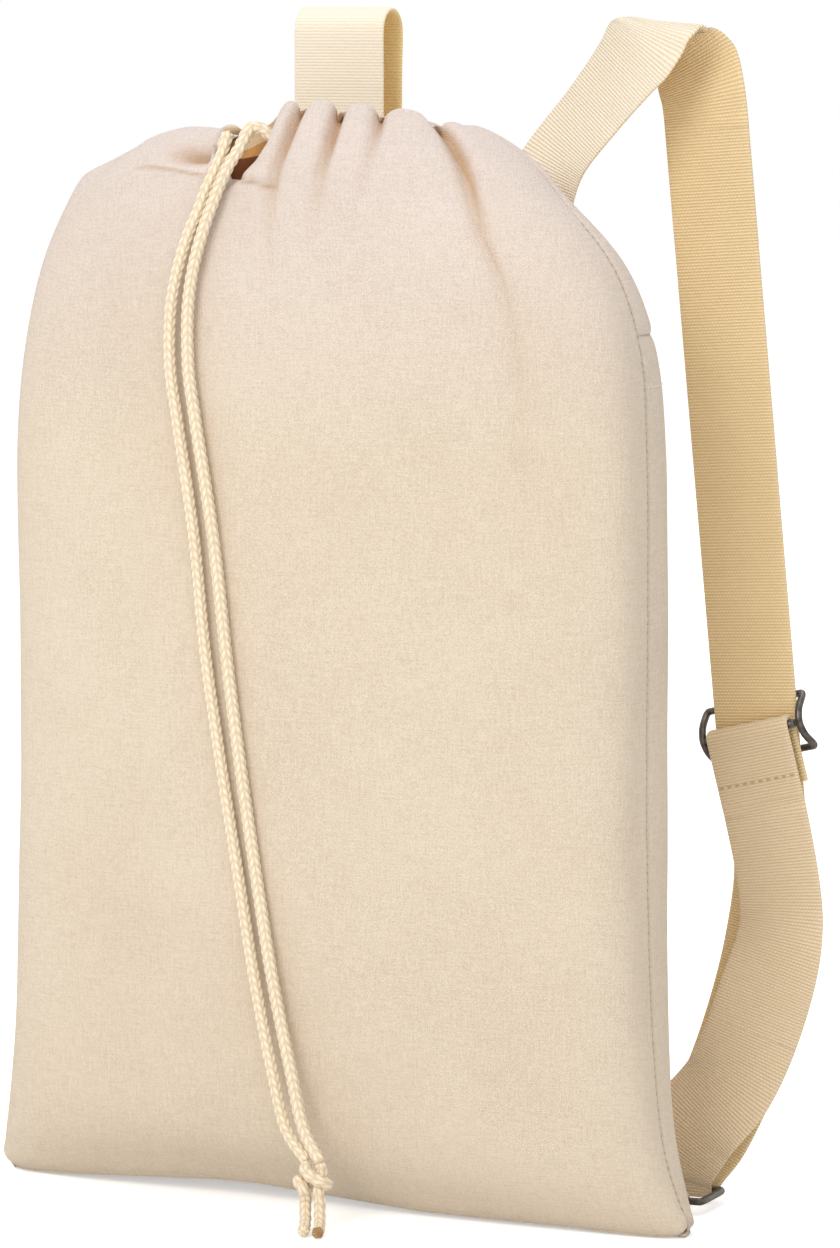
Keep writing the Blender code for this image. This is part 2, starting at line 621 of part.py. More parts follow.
def strap(word, plan):
    side = plan["side"]
    base_y = sewn_base(f"strap_base_{word}", plan["base_x"])
    base_top = np.array((plan["base_x"], base_y, BASE_HIGH + GAP))
    ring_at = np.array((side * RING_X, RING_INNER_Y, RING_Z))
    outer_bar = ring_at + (0, RING_REACH, 0)
    run_from, run_to = (np.array(p) for p in plan["run"])
    down = unit(run_to - run_from)
    way = np.array((1.0, -0.2, 0.0)) if side > 0 else np.array((1.0, 0.0, 0.0))
    way = unit(way - np.dot(way, down) * down)
    inward = unit(np.cross(way, down))
    if inward[1] > 0:
        inward = -inward

    # Up from the base and over to the run
    start = np.r_[base_top, 1, 0, 0]
    route = [base_top + (0, 0, LEAD), *plan["top"], run_from - down * LEAD]
    ways = [(1, 0, 0), *plan["top_way"], way]
    dense = through(np.c_[np.array(route), np.array(ways, float)], TOP_POINTS)
    dense = np.vstack([start, dense, np.r_[run_from - down * GAP, way]])
    ribbon(f"strap_top_{word}", dense[:, :3], dense[:, 3:], origin=base_top)

    # Straight run that the slider travels on
    ribbon(f"strap_run_{word}", np.linspace(run_from, run_to, 5), way, origin=base_top)

    # Slider: a bowed frame behind the run, its centre bar in front of it, with the sewn fold round the bar, all tilted
    tilt = math.radians(plan["tilt"])
    bar_way = way * math.cos(tilt) - down * math.sin(tilt)
    fold_way = down * math.cos(tilt) + way * math.sin(tilt)
    slider = run_to - down * (SLIDER_LENGTH / 2 + 0.002)
    half = SLIDER_LENGTH / 2 - WIRE / 2

    def local(x, along, level):
        return slider + bar_way * x - fold_way * along + inward * level

    frame = []
    for sx, order in ((1, (1, 0.5, 0, -0.5, -1)), (-1, (-1, -0.5, 0, 0.5, 1))):
        for s in order:
            level = OUTER_BAR + (CENTRE_BAR - OUTER_BAR) * (1 - s * s)
            frame.append(local(sx * (RING_HALF + WIRE / 2), s * half, level))
    bars(f"slider_frame_{word}", frame, gunmetal, slider)
    bar = [local(x, 0, CENTRE_BAR) for x in (-RING_HALF + GAP, RING_HALF - GAP)]
    tube(f"slider_bar_{word}", bar, WIRE, gunmetal, origin=slider)
    fold = [local(0, -FOLD_LENGTH, CENTRE_BAR + TURN), local(0, -FOLD_LENGTH / 2, CENTRE_BAR + TURN)]
    for k in range(9):
        angle = math.pi * k / 8
        fold.append(local(0, TURN * math.sin(angle), CENTRE_BAR + TURN * math.cos(angle)))
    fold.append(local(0, -FOLD_LENGTH + 0.004, CENTRE_BAR - TURN))
    ribbon(f"strap_fold_{word}", fold, bar_way, origin=slider)

    # Lower loop: down behind, round the ring's far bar and back up to the fold
    inner_to = local(0, -FOLD_LENGTH - GAP, CENTRE_BAR + TURN)
    wrap = []
    for k in range(WRAP_STEPS + 1):
        angle = math.radians(WRAP_FROM - (180 + WRAP_FROM) * k / WRAP_STEPS)
        wrap.append(outer_bar + (0, TURN * math.cos(angle), TURN * math.sin(angle)))
    square = np.array((1.0, 0.0, 0.0))
    outer_ways = [way] * 2 + [square] * len(plan["outer"])
    inner_ways = [square] * (len(plan["inner"])) + [bar_way] * 2
    outer_side = np.c_[np.array([run_to + down * LEAD, *plan["outer"], wrap[0]]), np.array(outer_ways)]
    inner_side = np.c_[np.array([wrap[-1], *plan["inner"], inner_to + fold_way * LEAD]), np.array(inner_ways)]
    turned = np.c_[np.array(wrap[1:-1]), np.tile(square, (len(wrap) - 2, 1))]
    dense = np.vstack([np.r_[run_to + down * GAP, way], through(outer_side, STRAP_POINTS), turned,
                       through(inner_side, STRAP_POINTS), np.r_[inner_to, bar_way]])
    ribbon(f"strap_loop_{word}", dense[:, :3], dense[:, 3:], origin=ring_at)

    # Ring and its webbing tab at the bag's lower corner
    x = RING_HALF + WIRE / 2
    corners = []
    for sx, sy in ((-1, 0), (1, 0), (1, 1), (-1, 1)):
        corners.append(ring_at + (sx * x, sy * RING_REACH, 0))
    bars(f"ring_{word}", corners, gunmetal, ring_at)
    tab(word, ring_at)


TAB_WIDTH = WEBBING_WIDTH - 0.004
TAB_COLUMNS = 9
TAB_SPREAD = 0.0012


def tab(word, ring_at):
    """A folded tab of webbing from the bag's corner round the ring's near bar."""
    xs = np.linspace(ring_at[0] - TAB_WIDTH / 2, ring_at[0] + TAB_WIDTH / 2, TAB_COLUMNS)
    outer, inner = [], []
    small, large = WIRE / 2 + GAP, WIRE / 2 + GAP + WEBBING * 0.8
    for x in xs:
        line_out, line_in = [], []
        for line, r in ((line_out, large), (line_in, small)):
            for z in (ring_at[2] + r, ring_at[2] - r):
                line.append((x, behind(back_tree, x, z, TAB_SPREAD) + SEAT, z))
            turned = []
            for k in range(7):
                angle = math.pi / 2 - math.pi * k / 6
                turned.append((x, ring_at[1] + r * math.cos(angle), ring_at[2] + r * math.sin(angle)))
            line[1:1] = turned
        outer.append(line_out)
        inner.append(line_in)
    sheet(f"ring_tab_{word}", np.array(outer)[::-1], np.array(inner)[::-1], webbing_cloth)


for word, plan in STRAPS.items():
    strap(word, plan)
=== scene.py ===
import json
import math

import bpy
import numpy as np
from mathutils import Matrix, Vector

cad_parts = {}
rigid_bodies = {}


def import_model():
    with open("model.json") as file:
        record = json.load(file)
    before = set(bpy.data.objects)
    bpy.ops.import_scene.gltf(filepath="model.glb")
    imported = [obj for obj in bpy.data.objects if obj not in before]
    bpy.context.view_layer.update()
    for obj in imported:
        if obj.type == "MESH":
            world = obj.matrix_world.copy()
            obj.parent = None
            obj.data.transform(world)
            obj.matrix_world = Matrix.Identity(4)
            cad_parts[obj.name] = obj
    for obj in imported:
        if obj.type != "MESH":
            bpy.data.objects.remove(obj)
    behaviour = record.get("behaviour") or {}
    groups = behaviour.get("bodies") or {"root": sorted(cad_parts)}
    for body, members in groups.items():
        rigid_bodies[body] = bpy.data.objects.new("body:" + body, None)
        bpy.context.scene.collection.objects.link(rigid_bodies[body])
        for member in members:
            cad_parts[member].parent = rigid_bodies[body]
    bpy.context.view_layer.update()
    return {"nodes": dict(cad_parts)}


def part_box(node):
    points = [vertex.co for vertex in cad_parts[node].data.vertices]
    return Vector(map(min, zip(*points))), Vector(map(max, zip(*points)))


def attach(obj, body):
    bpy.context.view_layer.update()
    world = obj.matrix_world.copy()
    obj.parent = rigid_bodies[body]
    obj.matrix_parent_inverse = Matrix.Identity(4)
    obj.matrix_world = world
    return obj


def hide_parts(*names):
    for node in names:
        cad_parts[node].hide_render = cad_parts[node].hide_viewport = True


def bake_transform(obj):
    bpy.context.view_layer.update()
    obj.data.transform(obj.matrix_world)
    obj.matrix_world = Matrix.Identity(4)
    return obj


for old in list(bpy.data.objects):
    bpy.data.objects.remove(old, do_unlink=True)
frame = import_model()
scene = bpy.context.scene
print("frame loaded", len(frame["nodes"]))


# camera, from the fit of the bag's outline to the photo

def aimed(made, plan):
    made.location = plan["at"]
    made.rotation_euler = (Vector(plan["aim"]) - Vector(plan["at"])).to_track_quat("-Z", "Y").to_euler()
    scene.collection.objects.link(made)


shot = {"at": (0.9228, -1.9038, 0.4866), "aim": (0.0288, 0.0134, 0.2374), "lens": 152.7}
camera = bpy.data.objects.new("camera", bpy.data.cameras.new("camera"))
camera.data.lens = shot["lens"]
camera.data.sensor_width = 36.0
camera.data.clip_end = 30.0
aimed(camera, shot)
scene.camera = camera


# curves and grids

def unit(v):
    v = np.asarray(v, float)
    return v / np.maximum(np.linalg.norm(v, axis=-1, keepdims=True), 1e-12)


def runOf(line):  # distance along a line at each of its points
    return np.r_[0, np.cumsum(np.linalg.norm(np.diff(line, axis=0), axis=1))]


def spread(line, count):  # the same line with evenly spaced points
    line = np.asarray(line, float)
    run = runOf(line[:, :3])
    at = np.linspace(0, run[-1], count)
    return np.stack([np.interp(at, run, line[:, k]) for k in range(line.shape[1])], 1)


def smooth(points, count):  # an even line through the points, centripetal Catmull-Rom
    p = np.array(points, float)
    p = np.vstack([2 * p[0] - p[1], p, 2 * p[-1] - p[-2]])
    knots = np.r_[0, np.cumsum(np.sqrt(np.linalg.norm(np.diff(p[:, :3], axis=0), axis=1)) + 1e-6)]
    fine = []
    for k in range(1, len(p) - 2):
        a, b, c, d = p[k - 1:k + 3]
        ta, tb, tc, td = knots[k - 1:k + 3]
        for t in np.linspace(tb, tc, 24, endpoint=False):
            ab = ((tb - t) * a + (t - ta) * b) / (tb - ta)
            bc = ((tc - t) * b + (t - tb) * c) / (tc - tb)
            cd = ((td - t) * c + (t - tc) * d) / (td - tc)
            first = ((tc - t) * ab + (t - ta) * bc) / (tc - ta)
            second = ((td - t) * bc + (t - tb) * cd) / (td - tb)
            fine.append(((tc - t) * first + (t - tb) * second) / (tc - tb))
    return spread(np.array(fine + [p[-2]]), count)


def lengthOf(line):
    return float(np.linalg.norm(np.diff(line, axis=0), axis=1).sum())


def normalsOf(grid):
    return unit(np.cross(np.gradient(grid, axis=1), np.gradient(grid, axis=0)))


def ease(x, low, high):
    t = np.clip((x - low) / (high - low), 0, 1)
    return t * t * (3 - 2 * t)


def meshOf(name, vertices, faces, finishes, uv=None, kinds=None):  # uv: metres on the cloth, a pair to a vertex
    mesh = bpy.data.meshes.new(name)
    mesh.from_pydata(np.asarray(vertices, float).reshape(-1, 3).tolist(), [], faces)
    for finish in finishes:
        mesh.materials.append(finish)
    if kinds is not None:
        mesh.polygons.foreach_set("material_index", np.asarray(kinds, np.int32))
    if uv is not None:
        corners = np.empty(len(mesh.loops), np.int32)
        mesh.loops.foreach_get("vertex_index", corners)
        shown = uv.reshape(-1, 2)[corners].astype(np.float32)
        mesh.uv_layers.new(name="weave").data.foreach_set("uv", shown.ravel())
    mesh.shade_smooth()
    made = bpy.data.objects.new(name, mesh)
    scene.collection.objects.link(made)
    return made


def tint(made, layer, values):  # a grey value to a vertex
    shown = np.repeat(values.reshape(-1, 1), 4, 1).astype(np.float32)
    made.data.color_attributes.new(layer, "FLOAT_COLOR", "POINT").data.foreach_set("color", shown.ravel())


def gridFaces(rows, columns, wrap=False):
    i, j = np.meshgrid(np.arange(rows - 1), np.arange(columns if wrap else columns - 1), indexing="ij")
    n = (j + 1) % columns
    return np.stack([i * columns + j, i * columns + n, (i + 1) * columns + n, (i + 1) * columns + j], -1).reshape(-1, 4)


def endCaps(count, ring):
    return [list(range(ring))[::-1], [(count - 1) * ring + k for k in range(ring)]]


def carried(along, start):  # a side vector taken along a line with no twist
    side = np.zeros_like(along)
    side[0] = unit(np.cross(along[0], start))
    for k in range(1, len(along)):
        side[k] = unit(side[k - 1] - along[k] * np.dot(side[k - 1], along[k]))
    return side


def tubeGrid(line, along, side, turn, reach):
    up = np.cross(along, side)
    return line[:, None] + reach * (side[:, None] * np.cos(turn)[None, :, None] + up[:, None] * np.sin(turn)[None, :, None])


# node graphs: a wire is a socket with arithmetic

class Wire:
    def __init__(self, finish, socket):
        self.finish, self.socket = finish, socket

    def sum(self, operation, other=0.0):
        return self.finish.node("Math", {0: self, 1: other}, operation=operation)

    def __add__(self, other):
        return self.sum("ADD", other)

    def __sub__(self, other):
        return self.sum("SUBTRACT", other)

    def __mul__(self, other):
        return self.sum("MULTIPLY", other)

    def __pow__(self, other):
        return self.sum("POWER", other)


class Finish:
    def __init__(self, name, roughness, metallic=0.0, sheen=0.0):
        self.made = bpy.data.materials.new(name)
        self.made.use_nodes = True
        self.tree = self.made.node_tree
        self.surface = self.tree.nodes["Principled BSDF"]
        self.give("Roughness", roughness)
        self.give("Metallic", metallic)
        self.give("Sheen Weight", sheen)
        self.give("Specular IOR Level", 0.5 if metallic else 0.15)

    def give(self, name, value):
        self.feed(self.surface.inputs[name], value)

    def feed(self, socket, value):
        if isinstance(value, Wire):
            self.tree.links.new(value.socket, socket)
        else:
            socket.default_value = value

    def node(self, kind, inputs=None, out=0, **settings):
        made = self.tree.nodes.new("ShaderNode" + kind)
        for key, value in settings.items():
            setattr(made, key, value)
        for key, value in (inputs or {}).items():
            self.feed(made.inputs[key], value)
        return Wire(self, made.outputs[out])

    def along(self):  # metres along and across the cloth
        uv = self.node("UVMap", uv_map="weave")
        self.u, self.v = (self.axis(uv, k) for k in (0, 1))
        return self.u, self.v

    def place(self):
        return self.node("TexCoord", out="Object")

    def grain(self, vector, scale, detail=2.0, rough=0.5):
        return self.node("TexNoise", {"Vector": vector, "Scale": scale, "Detail": detail, "Roughness": rough}, "Fac")

    def fibres(self, across, down, detail=3.0, rough=0.5):
        return self.grain(self.node("CombineXYZ", {0: self.u * across, 1: self.v * down}), 1.0, detail, rough)

    def axis(self, vector, k):
        return self.node("SeparateXYZ", {0: vector}, k)

    def ramp(self, fac, stops):
        made = self.node("ValToRGB", {"Fac": fac}, "Color")
        for element, (at, colour) in zip(made.socket.node.color_ramp.elements, stops):
            element.position = at
            element.color = (*colour, 1.0)
        return made

    def mix(self, fac, a, b, blend="MIX"):
        return self.node("Mix", {0: fac, 6: a, 7: b}, 2, data_type="RGBA", blend_type=blend)

    def wear(self, colour, height, strength, distance):
        self.give("Base Color", colour)
        self.give("Normal", self.node("Bump", {"Height": height, "Strength": strength, "Distance": distance}))
        return self.made


def wave(value, pitch, shift=0.0):
    return (value * (2 * math.pi / pitch) + shift).sum("SINE")


def canvasFinish(name, shade=None):  # shade: what the light in a narrow slit leaves of each colour
    made = Finish(name, 0.92, sheen=0.0 if shade else 0.12)
    u, v = made.along()
    look = {
        "yarn": 0.0009, "pale": (0.790, 0.680, 0.535), "deep": (0.620, 0.510, 0.375), "fleck": (0.48, 0.36, 0.22, 1.0),
        "creaseShade": (0.70, 0.50, 0.30, 1.0), "topLight": (0.985, 1.0, 1.15, 1.0),
    }
    black, white = (0, 0, 0), (1, 1, 1)
    place = made.place()
    weave = wave(u, look["yarn"]) * wave(v, look["yarn"])
    warp = made.fibres(1500.0, 90.0)
    weft = made.fibres(90.0, 1500.0)
    speck = made.grain(place, 1100.0, 2.0, 0.6)
    mottle = made.grain(place, 14.0, 4.0, 0.55)
    tone = mottle * 0.28 + warp * 0.34 + weft * 0.34 + speck * 0.64 - 0.30
    colour = made.ramp(tone, [(0.22, look["deep"]), (0.62, look["pale"])])
    fleck = made.ramp(made.fibres(260.0, 420.0, 2.0, 0.7), [(0.70, black), (0.78, white)])
    colour = made.mix(fleck * 0.30, colour, look["fleck"])
    high = made.ramp(made.axis(place, 2) * 2.0, [(0.62, black), (0.86, white)])  # painted light: the colour turns cooler and less yellow towards the top
    colour = made.mix(high, colour, look["topLight"], "MULTIPLY")
    creaseShadeLayer = made.node("VertexColor", layer_name="creaseShade")  # painted shade: a darker, warmer colour in the creases, in the dimple and along the edge lines
    colour = made.mix(made.axis(creaseShadeLayer, 0), colour, look["creaseShade"], "MULTIPLY")
    if shade:
        colour = made.mix(1.0, colour, (*shade, 1.0), "MULTIPLY")
    height = weave * 0.35 + warp * 0.9 + weft * 0.9 + speck * 0.5
    return made.wear(colour, height, 0.55, 0.0005)


def webbingFinish(name, pale, deep, relief=0.9):
    made = Finish(name, 0.88, sheen=0.10)
    u, v = made.along()
    look = {"rib": 0.00125, "knot": 0.0016}
    row = (u * (1 / look["rib"])).sum("FLOOR")
    rib = wave(u, look["rib"], -math.pi / 2) * 0.5 + 0.5
    knot = wave(v, look["knot"], row * math.pi) * 0.5 + 0.5  # every other row is set over by half
    fibre = made.fibres(2600.0, 500.0)
    mottle = made.grain(made.place(), 30.0, 3.0)
    height = (rib**0.7) * (knot * 0.45 + 0.55)
    # painted shade: the grooves between the ribs are darker, the raised ribs lighter
    tone = height * 0.62 + fibre * 0.3 + mottle * 0.22 - 0.1
    colour = made.ramp(tone, [(0.10, deep), (0.72, pale)])
    return made.wear(colour, height + fibre * 0.25, relief, 0.0005)


def cordFinish(name, pale, deep):
    made = Finish(name, 0.90, sheen=0.15)
    made.along()
    fibre = made.fibres(1800.0, 600.0)
    mottle = made.grain(made.place(), 60.0, 3.0)
    proud = made.node("VertexColor", layer_name="proud")
    # painted shade: the hollows between the braid's stitches are darker, the raised stitches lighter
    tone = fibre * 0.35 + mottle * 0.15 + made.axis(proud, 0) * 0.5
    return made.wear(made.ramp(tone, [(0.22, deep), (0.70, pale)]), fibre, 0.35, 0.0003)


def threadFinish(name, pale, deep):
    made = Finish(name, 0.8)
    ply = made.grain(made.place(), 2200.0, 2.0)
    return made.wear(made.ramp(ply, [(0.35, deep), (0.65, pale)]), ply, 0.4, 0.0002)


def metalFinish():
    made = Finish("gunmetal_wire", 0.32, 0.92)
    wear = made.grain(made.place(), 420.0, 4.0, 0.6)
    broad = made.grain(made.place(), 60.0, 3.0)
    colour = made.ramp(wear * 0.6 + broad * 0.4, [(0.34, (0.050, 0.044, 0.038)), (0.62, (0.17, 0.155, 0.135))])
    made.give("Roughness", broad * 0.25 + 0.22)
    return made.wear(colour, wear, 0.15, 0.0002)


canvas = canvasFinish("canvas_weave")
# copies of the canvas in painted shade for the inside seen through the slit: gold, amber and dark
canvasGoldShade = canvasFinish("canvas_painted_gold_shade", (1.0, 0.86, 0.60))
canvasAmberShade = canvasFinish("canvas_painted_amber_shade", (0.90, 0.52, 0.20))
canvasShade = canvasFinish("canvas_in_shade", (0.26, 0.10, 0.04))
webbing = webbingFinish("webbing_face", (0.95, 0.86, 0.69), (0.80, 0.67, 0.48))
# copies of one webbing in painted light and shade: paler on the hang loop's face, brighter gold inside it, darker on
# the inner side and the lower loop
webbingLitPale = webbingFinish("webbing_painted_light", (0.93, 0.84, 0.69), (0.87, 0.76, 0.59), 0.40)
webbingLitGold = webbingFinish("webbing_painted_gold_light", (1.0, 0.80, 0.43), (0.86, 0.62, 0.27), 0.6)
webbingShadeTan = webbingFinish("webbing_painted_shade", (0.95, 0.77, 0.47), (0.70, 0.50, 0.25))
webbingShadeWarm = webbingFinish("webbing_painted_warm_shade", (0.86, 0.71, 0.50), (0.66, 0.50, 0.31))
cotton = cordFinish("cord_cotton", (0.93, 0.83, 0.65), (0.72, 0.57, 0.37))
cutCotton = cordFinish("cord_cut_end", (0.50, 0.33, 0.16), (0.30, 0.18, 0.08))
thread = threadFinish("thread_pale", (0.93, 0.84, 0.68), (0.74, 0.62, 0.44))
threadTan = threadFinish("thread_tan", (0.60, 0.44, 0.22), (0.40, 0.27, 0.12))
metal = metalFinish()
print("materials made")


def dressed(made, nodes=(), body=None):
    if nodes:
        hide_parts(*nodes)
    if body:
        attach(made, body)
    return made


# sewing: a row of short round stitches along a line

def stitchRow(name, line, out, body, finish, every=0.0035, long=0.0024, thick=0.00032):
    line = np.asarray(line, float)
    count = max(2, int(round(lengthOf(line) / every)) + 1)
    dense = spread(np.c_[line, np.broadcast_to(out, line.shape)], count * 2 - 1)
    along = unit(np.gradient(dense[:, :3], axis=0))
    up = unit(dense[:, 3:])
    side = np.cross(along, up)
    sides, stations = 6, (-1.0, -0.8, -0.4, 0.0, 0.4, 0.8, 1.0)
    vertices, faces = [], []
    for k in range(0, len(dense), 2):
        base = len(vertices)
        for s in stations:
            girth = thick * math.sqrt(max(0.02, 1 - s * s))
            dip = -thick * 1.2 * s * s
            middle = dense[k, :3] + along[k] * s * long / 2 + up[k] * (thick * 0.5 + dip)
            for a in range(sides):
                turn = 2 * math.pi * a / sides
                vertices.append(middle + (side[k] * math.cos(turn) + up[k] * math.sin(turn)) * girth)
        faces += (gridFaces(len(stations), sides, True) + base).tolist()
        faces += [[base + a for a in cap] for cap in endCaps(len(stations), sides)]
    dressed(meshOf(name, vertices, faces, [finish]), body=body)


# braided cord along a route

braid = {"across": 0.005, "columns": 6, "stitch": 0.0038, "relief": 0.19, "sides": 36, "round": 0.0012, "brown": 0.0016}


def cordMesh(name, path, finishes, step=0.0005):  # a second finish is for the cut end
    length, sides = lengthOf(path), braid["sides"]
    count = int(length / step) + 1
    line = spread(path, count)
    along = unit(np.gradient(line, axis=0))
    turn = np.linspace(0, 2 * math.pi, sides, endpoint=False)
    s = np.linspace(0, length, count)[:, None]
    column = turn / (2 * math.pi) * braid["columns"]
    local = column - np.floor(column) - 0.5
    slant = np.where(np.floor(column) % 2 == 0, 1.0, -1.0)
    phase = s / braid["stitch"] + slant * local * 0.75 + 0.5 * (np.floor(column) // 2)
    stitch = (0.5 + 0.5 * np.cos(2 * math.pi * phase)) ** 0.6
    height = stitch * np.cos(math.pi * local) ** 0.5
    reach = braid["across"] / 2 * (1.02 - braid["relief"] + braid["relief"] * height)
    close = np.minimum(s, length - s) / braid["round"]
    reach = reach * np.sqrt(np.clip(1 - (1 - np.clip(close, 0, 1)) ** 2, 0.12, 1))
    grid = tubeGrid(line, along, carried(along, (0.31, 0.52, 0.8)), turn, reach[..., None])
    faces = gridFaces(count, sides, True).tolist()
    uv = np.stack(np.broadcast_arrays(s, turn[None] * braid["across"] / 2), -1)
    kinds = np.zeros(len(faces) + 2, int)
    if len(finishes) > 1:
        kinds[len(faces) - int(braid["brown"] / step) * sides:len(faces)] = 1
        kinds[-1] = 1
    made = meshOf(name, grid, faces + endCaps(count, sides), finishes, uv, kinds)
    tint(made, "proud", height)
    return made, line


cordRoutes = {
    "left": [
        (-0.0480, -0.0195, 0.4262), (-0.0432, -0.0200, 0.4288), (-0.0390, -0.0230, 0.4330), (-0.0374, -0.0268, 0.4310),
        (-0.0377, -0.0304, 0.4254), (-0.0391, -0.0334, 0.4196), (-0.0420, -0.0364, 0.4111), (-0.0437, -0.0382, 0.4046),
        (-0.0470, -0.0405, 0.3956), (-0.0502, -0.0425, 0.3837),
        (-0.0527, -0.0440, 0.3703), (-0.0535, -0.0450, 0.3569), (-0.0529, -0.0455, 0.3402), (-0.0501, -0.0457, 0.3225),
        (-0.0428, -0.0457, 0.2757), (-0.0379, -0.0457, 0.2292), (-0.0320, -0.0457, 0.1902), (-0.0229, -0.0457, 0.1365),
        (-0.0166, -0.0457, 0.0992), (-0.0086, -0.0460, 0.0620), (-0.0016, -0.0474, 0.0390), (0.0085, -0.0497, 0.0278),
    ],
    "right": [
        (-0.0120, -0.0200, 0.4290), (-0.0180, -0.0205, 0.4310), (-0.0235, -0.0222, 0.4358), (-0.0272, -0.0248, 0.4366),
        (-0.0289, -0.0275, 0.4326), (-0.0300, -0.0300, 0.4282), (-0.0327, -0.0330, 0.4224), (-0.0358, -0.0362, 0.4134),
        (-0.0376, -0.0381, 0.4071), (-0.0402, -0.0400, 0.3984), (-0.0436, -0.0424, 0.3839), (-0.0453, -0.0440, 0.3705),
        (-0.0456, -0.0450, 0.3571),
        (-0.0448, -0.0455, 0.3405), (-0.0421, -0.0457, 0.3227), (-0.0343, -0.0457, 0.2761), (-0.0287, -0.0457, 0.2296),
        (-0.0234, -0.0457, 0.1906), (-0.0150, -0.0457, 0.1370), (-0.0086, -0.0457, 0.0998), (-0.0003, -0.0460, 0.0627),
        (0.0062, -0.0474, 0.0395), (0.0145, -0.0497, 0.0278),
    ],
}
runs = {}
for word, route in cordRoutes.items():
    runs[word] = cordMesh(f"drawcord_run_{word}", smooth(route, 400), [cotton])
print("cords made", {word: round(lengthOf(line), 4) for word, (made, line) in runs.items()})


# bag: the panels' outer faces, finer than the solids and gathered at the mouth

body = {
    "half": 0.136, "deep": 0.042, "tall": 0.415, "ear": 0.018, "baseFront": -0.010, "baseBack": 0.036, "yoke": 0.357,
    "shoulder": 0.105, "mouthX": -0.012, "footWide": 0.208, "footDeep": 0.064, "mouthWide": 0.136, "mouthDeep": 0.030,
    "casing": 0.031, "droop": 0.013, "sag": 0.0085, "seamGap": 0.0006, "cloth": 0.0018, "footDrop": 0.0016,
}
half, deep, tall, ear = body["half"], body["deep"], body["tall"], body["ear"]
shoulderFrom = tall - body["shoulder"]
panelTop = tall - body["footDrop"]
seamLine = smooth([  # height, half width, Y and shift in X
    (0.000, half + 0.67 * ear, 0.0, -0.0010), (0.0035, half + 0.96 * ear, 0.0, -0.0014),
    (0.0075, half + 1.03 * ear, -0.0005, -0.0018), (0.014, half + 0.89 * ear, -0.001, -0.0023),
    (0.035, half + 0.55 * ear, -0.003, -0.0023), (0.075, half + 0.26 * ear, -0.005, -0.0010),
    (0.5 * shoulderFrom, half + 0.05 * ear, -0.006, 0.0), (shoulderFrom, half, -0.006, 0.0),
    (tall - 0.6 * body["shoulder"], half - 0.003, -0.004, -0.001),
    (tall - 0.3 * body["shoulder"], half - 0.012, -0.002, 0.35 * body["mouthX"]),
    (tall, body["footWide"] / 2, 0.0, body["mouthX"]),
], 400)


halfRound = [way(np.linspace(0, math.pi, 1601)) for way in (np.cos, np.sin)]


def seamAt(z):
    return np.stack([np.interp(z, seamLine[:, 0], seamLine[:, k]) for k in (1, 2, 3)], -1)


def panelGrid(rows, side, count, columns):  # rows: height of the ends, middle Y, middle height, squareness
    ends, middleY, middleZ, power = np.array(rows).T
    dense = smooth(np.stack([middleY, middleZ, 0 * ends, ends, power], 1), count)
    c, s = halfRound
    made = []
    for midY, midZ, _, end, q in dense:
        wide, seamY, shift = seamAt(end)
        x = shift - wide * np.sign(c) * np.abs(c) ** (2 / q)
        fill = np.abs(s) ** (2 / q)
        fill[[0, -1]] = 0
        y = seamY + side * body["seamGap"] / 2 + (midY - seamY) * fill
        z = np.maximum(0.0, end + (midZ - end) * fill)
        made.append(spread(np.stack([x, y, z], 1), columns))
    return np.array(made)


def casingGrid(side, angles, columns, bulge):  # rolled tunnel above a panel: angle -90 at its foot, 90 at the rim
    c, s = halfRound
    cx, sy = np.sign(c) * np.abs(c) ** (2 / 2.4), np.abs(s) ** (2 / 2.4)
    droop = body["droop"] * np.where(cx < 0, 0.62, 1.0) * cx**2  # less on the right
    sag = (0.0 if side < 0 else body["sag"]) * (1 - cx**2)  # the rim stands lower behind
    rims = []
    for part, height in (("foot", tall + 0 * cx), ("mouth", tall + body["casing"] - droop - sag)):
        x = body["mouthX"] - body[part + "Wide"] / 2 * cx
        y = side * (body["seamGap"] / 2 + body[part + "Deep"] / 2 * sy)
        rims.append(spread(np.stack([x, y, height], 1), columns))
    foot, top = rims
    around = np.gradient((foot + top) / 2, axis=0)
    outward = unit(np.cross(around, top - foot)) * side * -1
    middle = (foot + top) / 2 - outward * body["cloth"] / 2
    reach = (top - foot) / 2
    return np.array([middle + reach * math.sin(a) + outward * math.cos(a) * bulge for a in np.radians(angles)])


# valleys between the mouth's gathers: X at the rim, X at the casing's foot, depth, reach down
frontFolds = [
    (-0.0760, -0.1040, 0.0012, 0.030), (-0.0200, -0.0240, 0.0026, 0.016), (-0.0085, -0.0135, 0.0056, 0.034),
    (0.0080, 0.0065, 0.0070, 0.026), (0.0250, 0.0250, 0.0050, 0.020), (0.0455, 0.0675, 0.0086, 0.040),
]
backFolds = [
    (-0.0740, -0.1050, 0.0030, 0.026), (-0.0620, -0.0860, 0.0042, 0.030), (-0.0490, -0.0690, 0.0036, 0.022),
    (-0.0370, -0.0500, 0.0046, 0.032), (-0.0240, -0.0300, 0.0036, 0.024), (-0.0120, -0.0130, 0.0048, 0.034),
    (0.0010, 0.0060, 0.0036, 0.022), (0.0130, 0.0250, 0.0046, 0.030), (0.0260, 0.0430, 0.0038, 0.024),
    (0.0370, 0.0600, 0.0044, 0.030), (0.0480, 0.0780, 0.0030, 0.024),
]


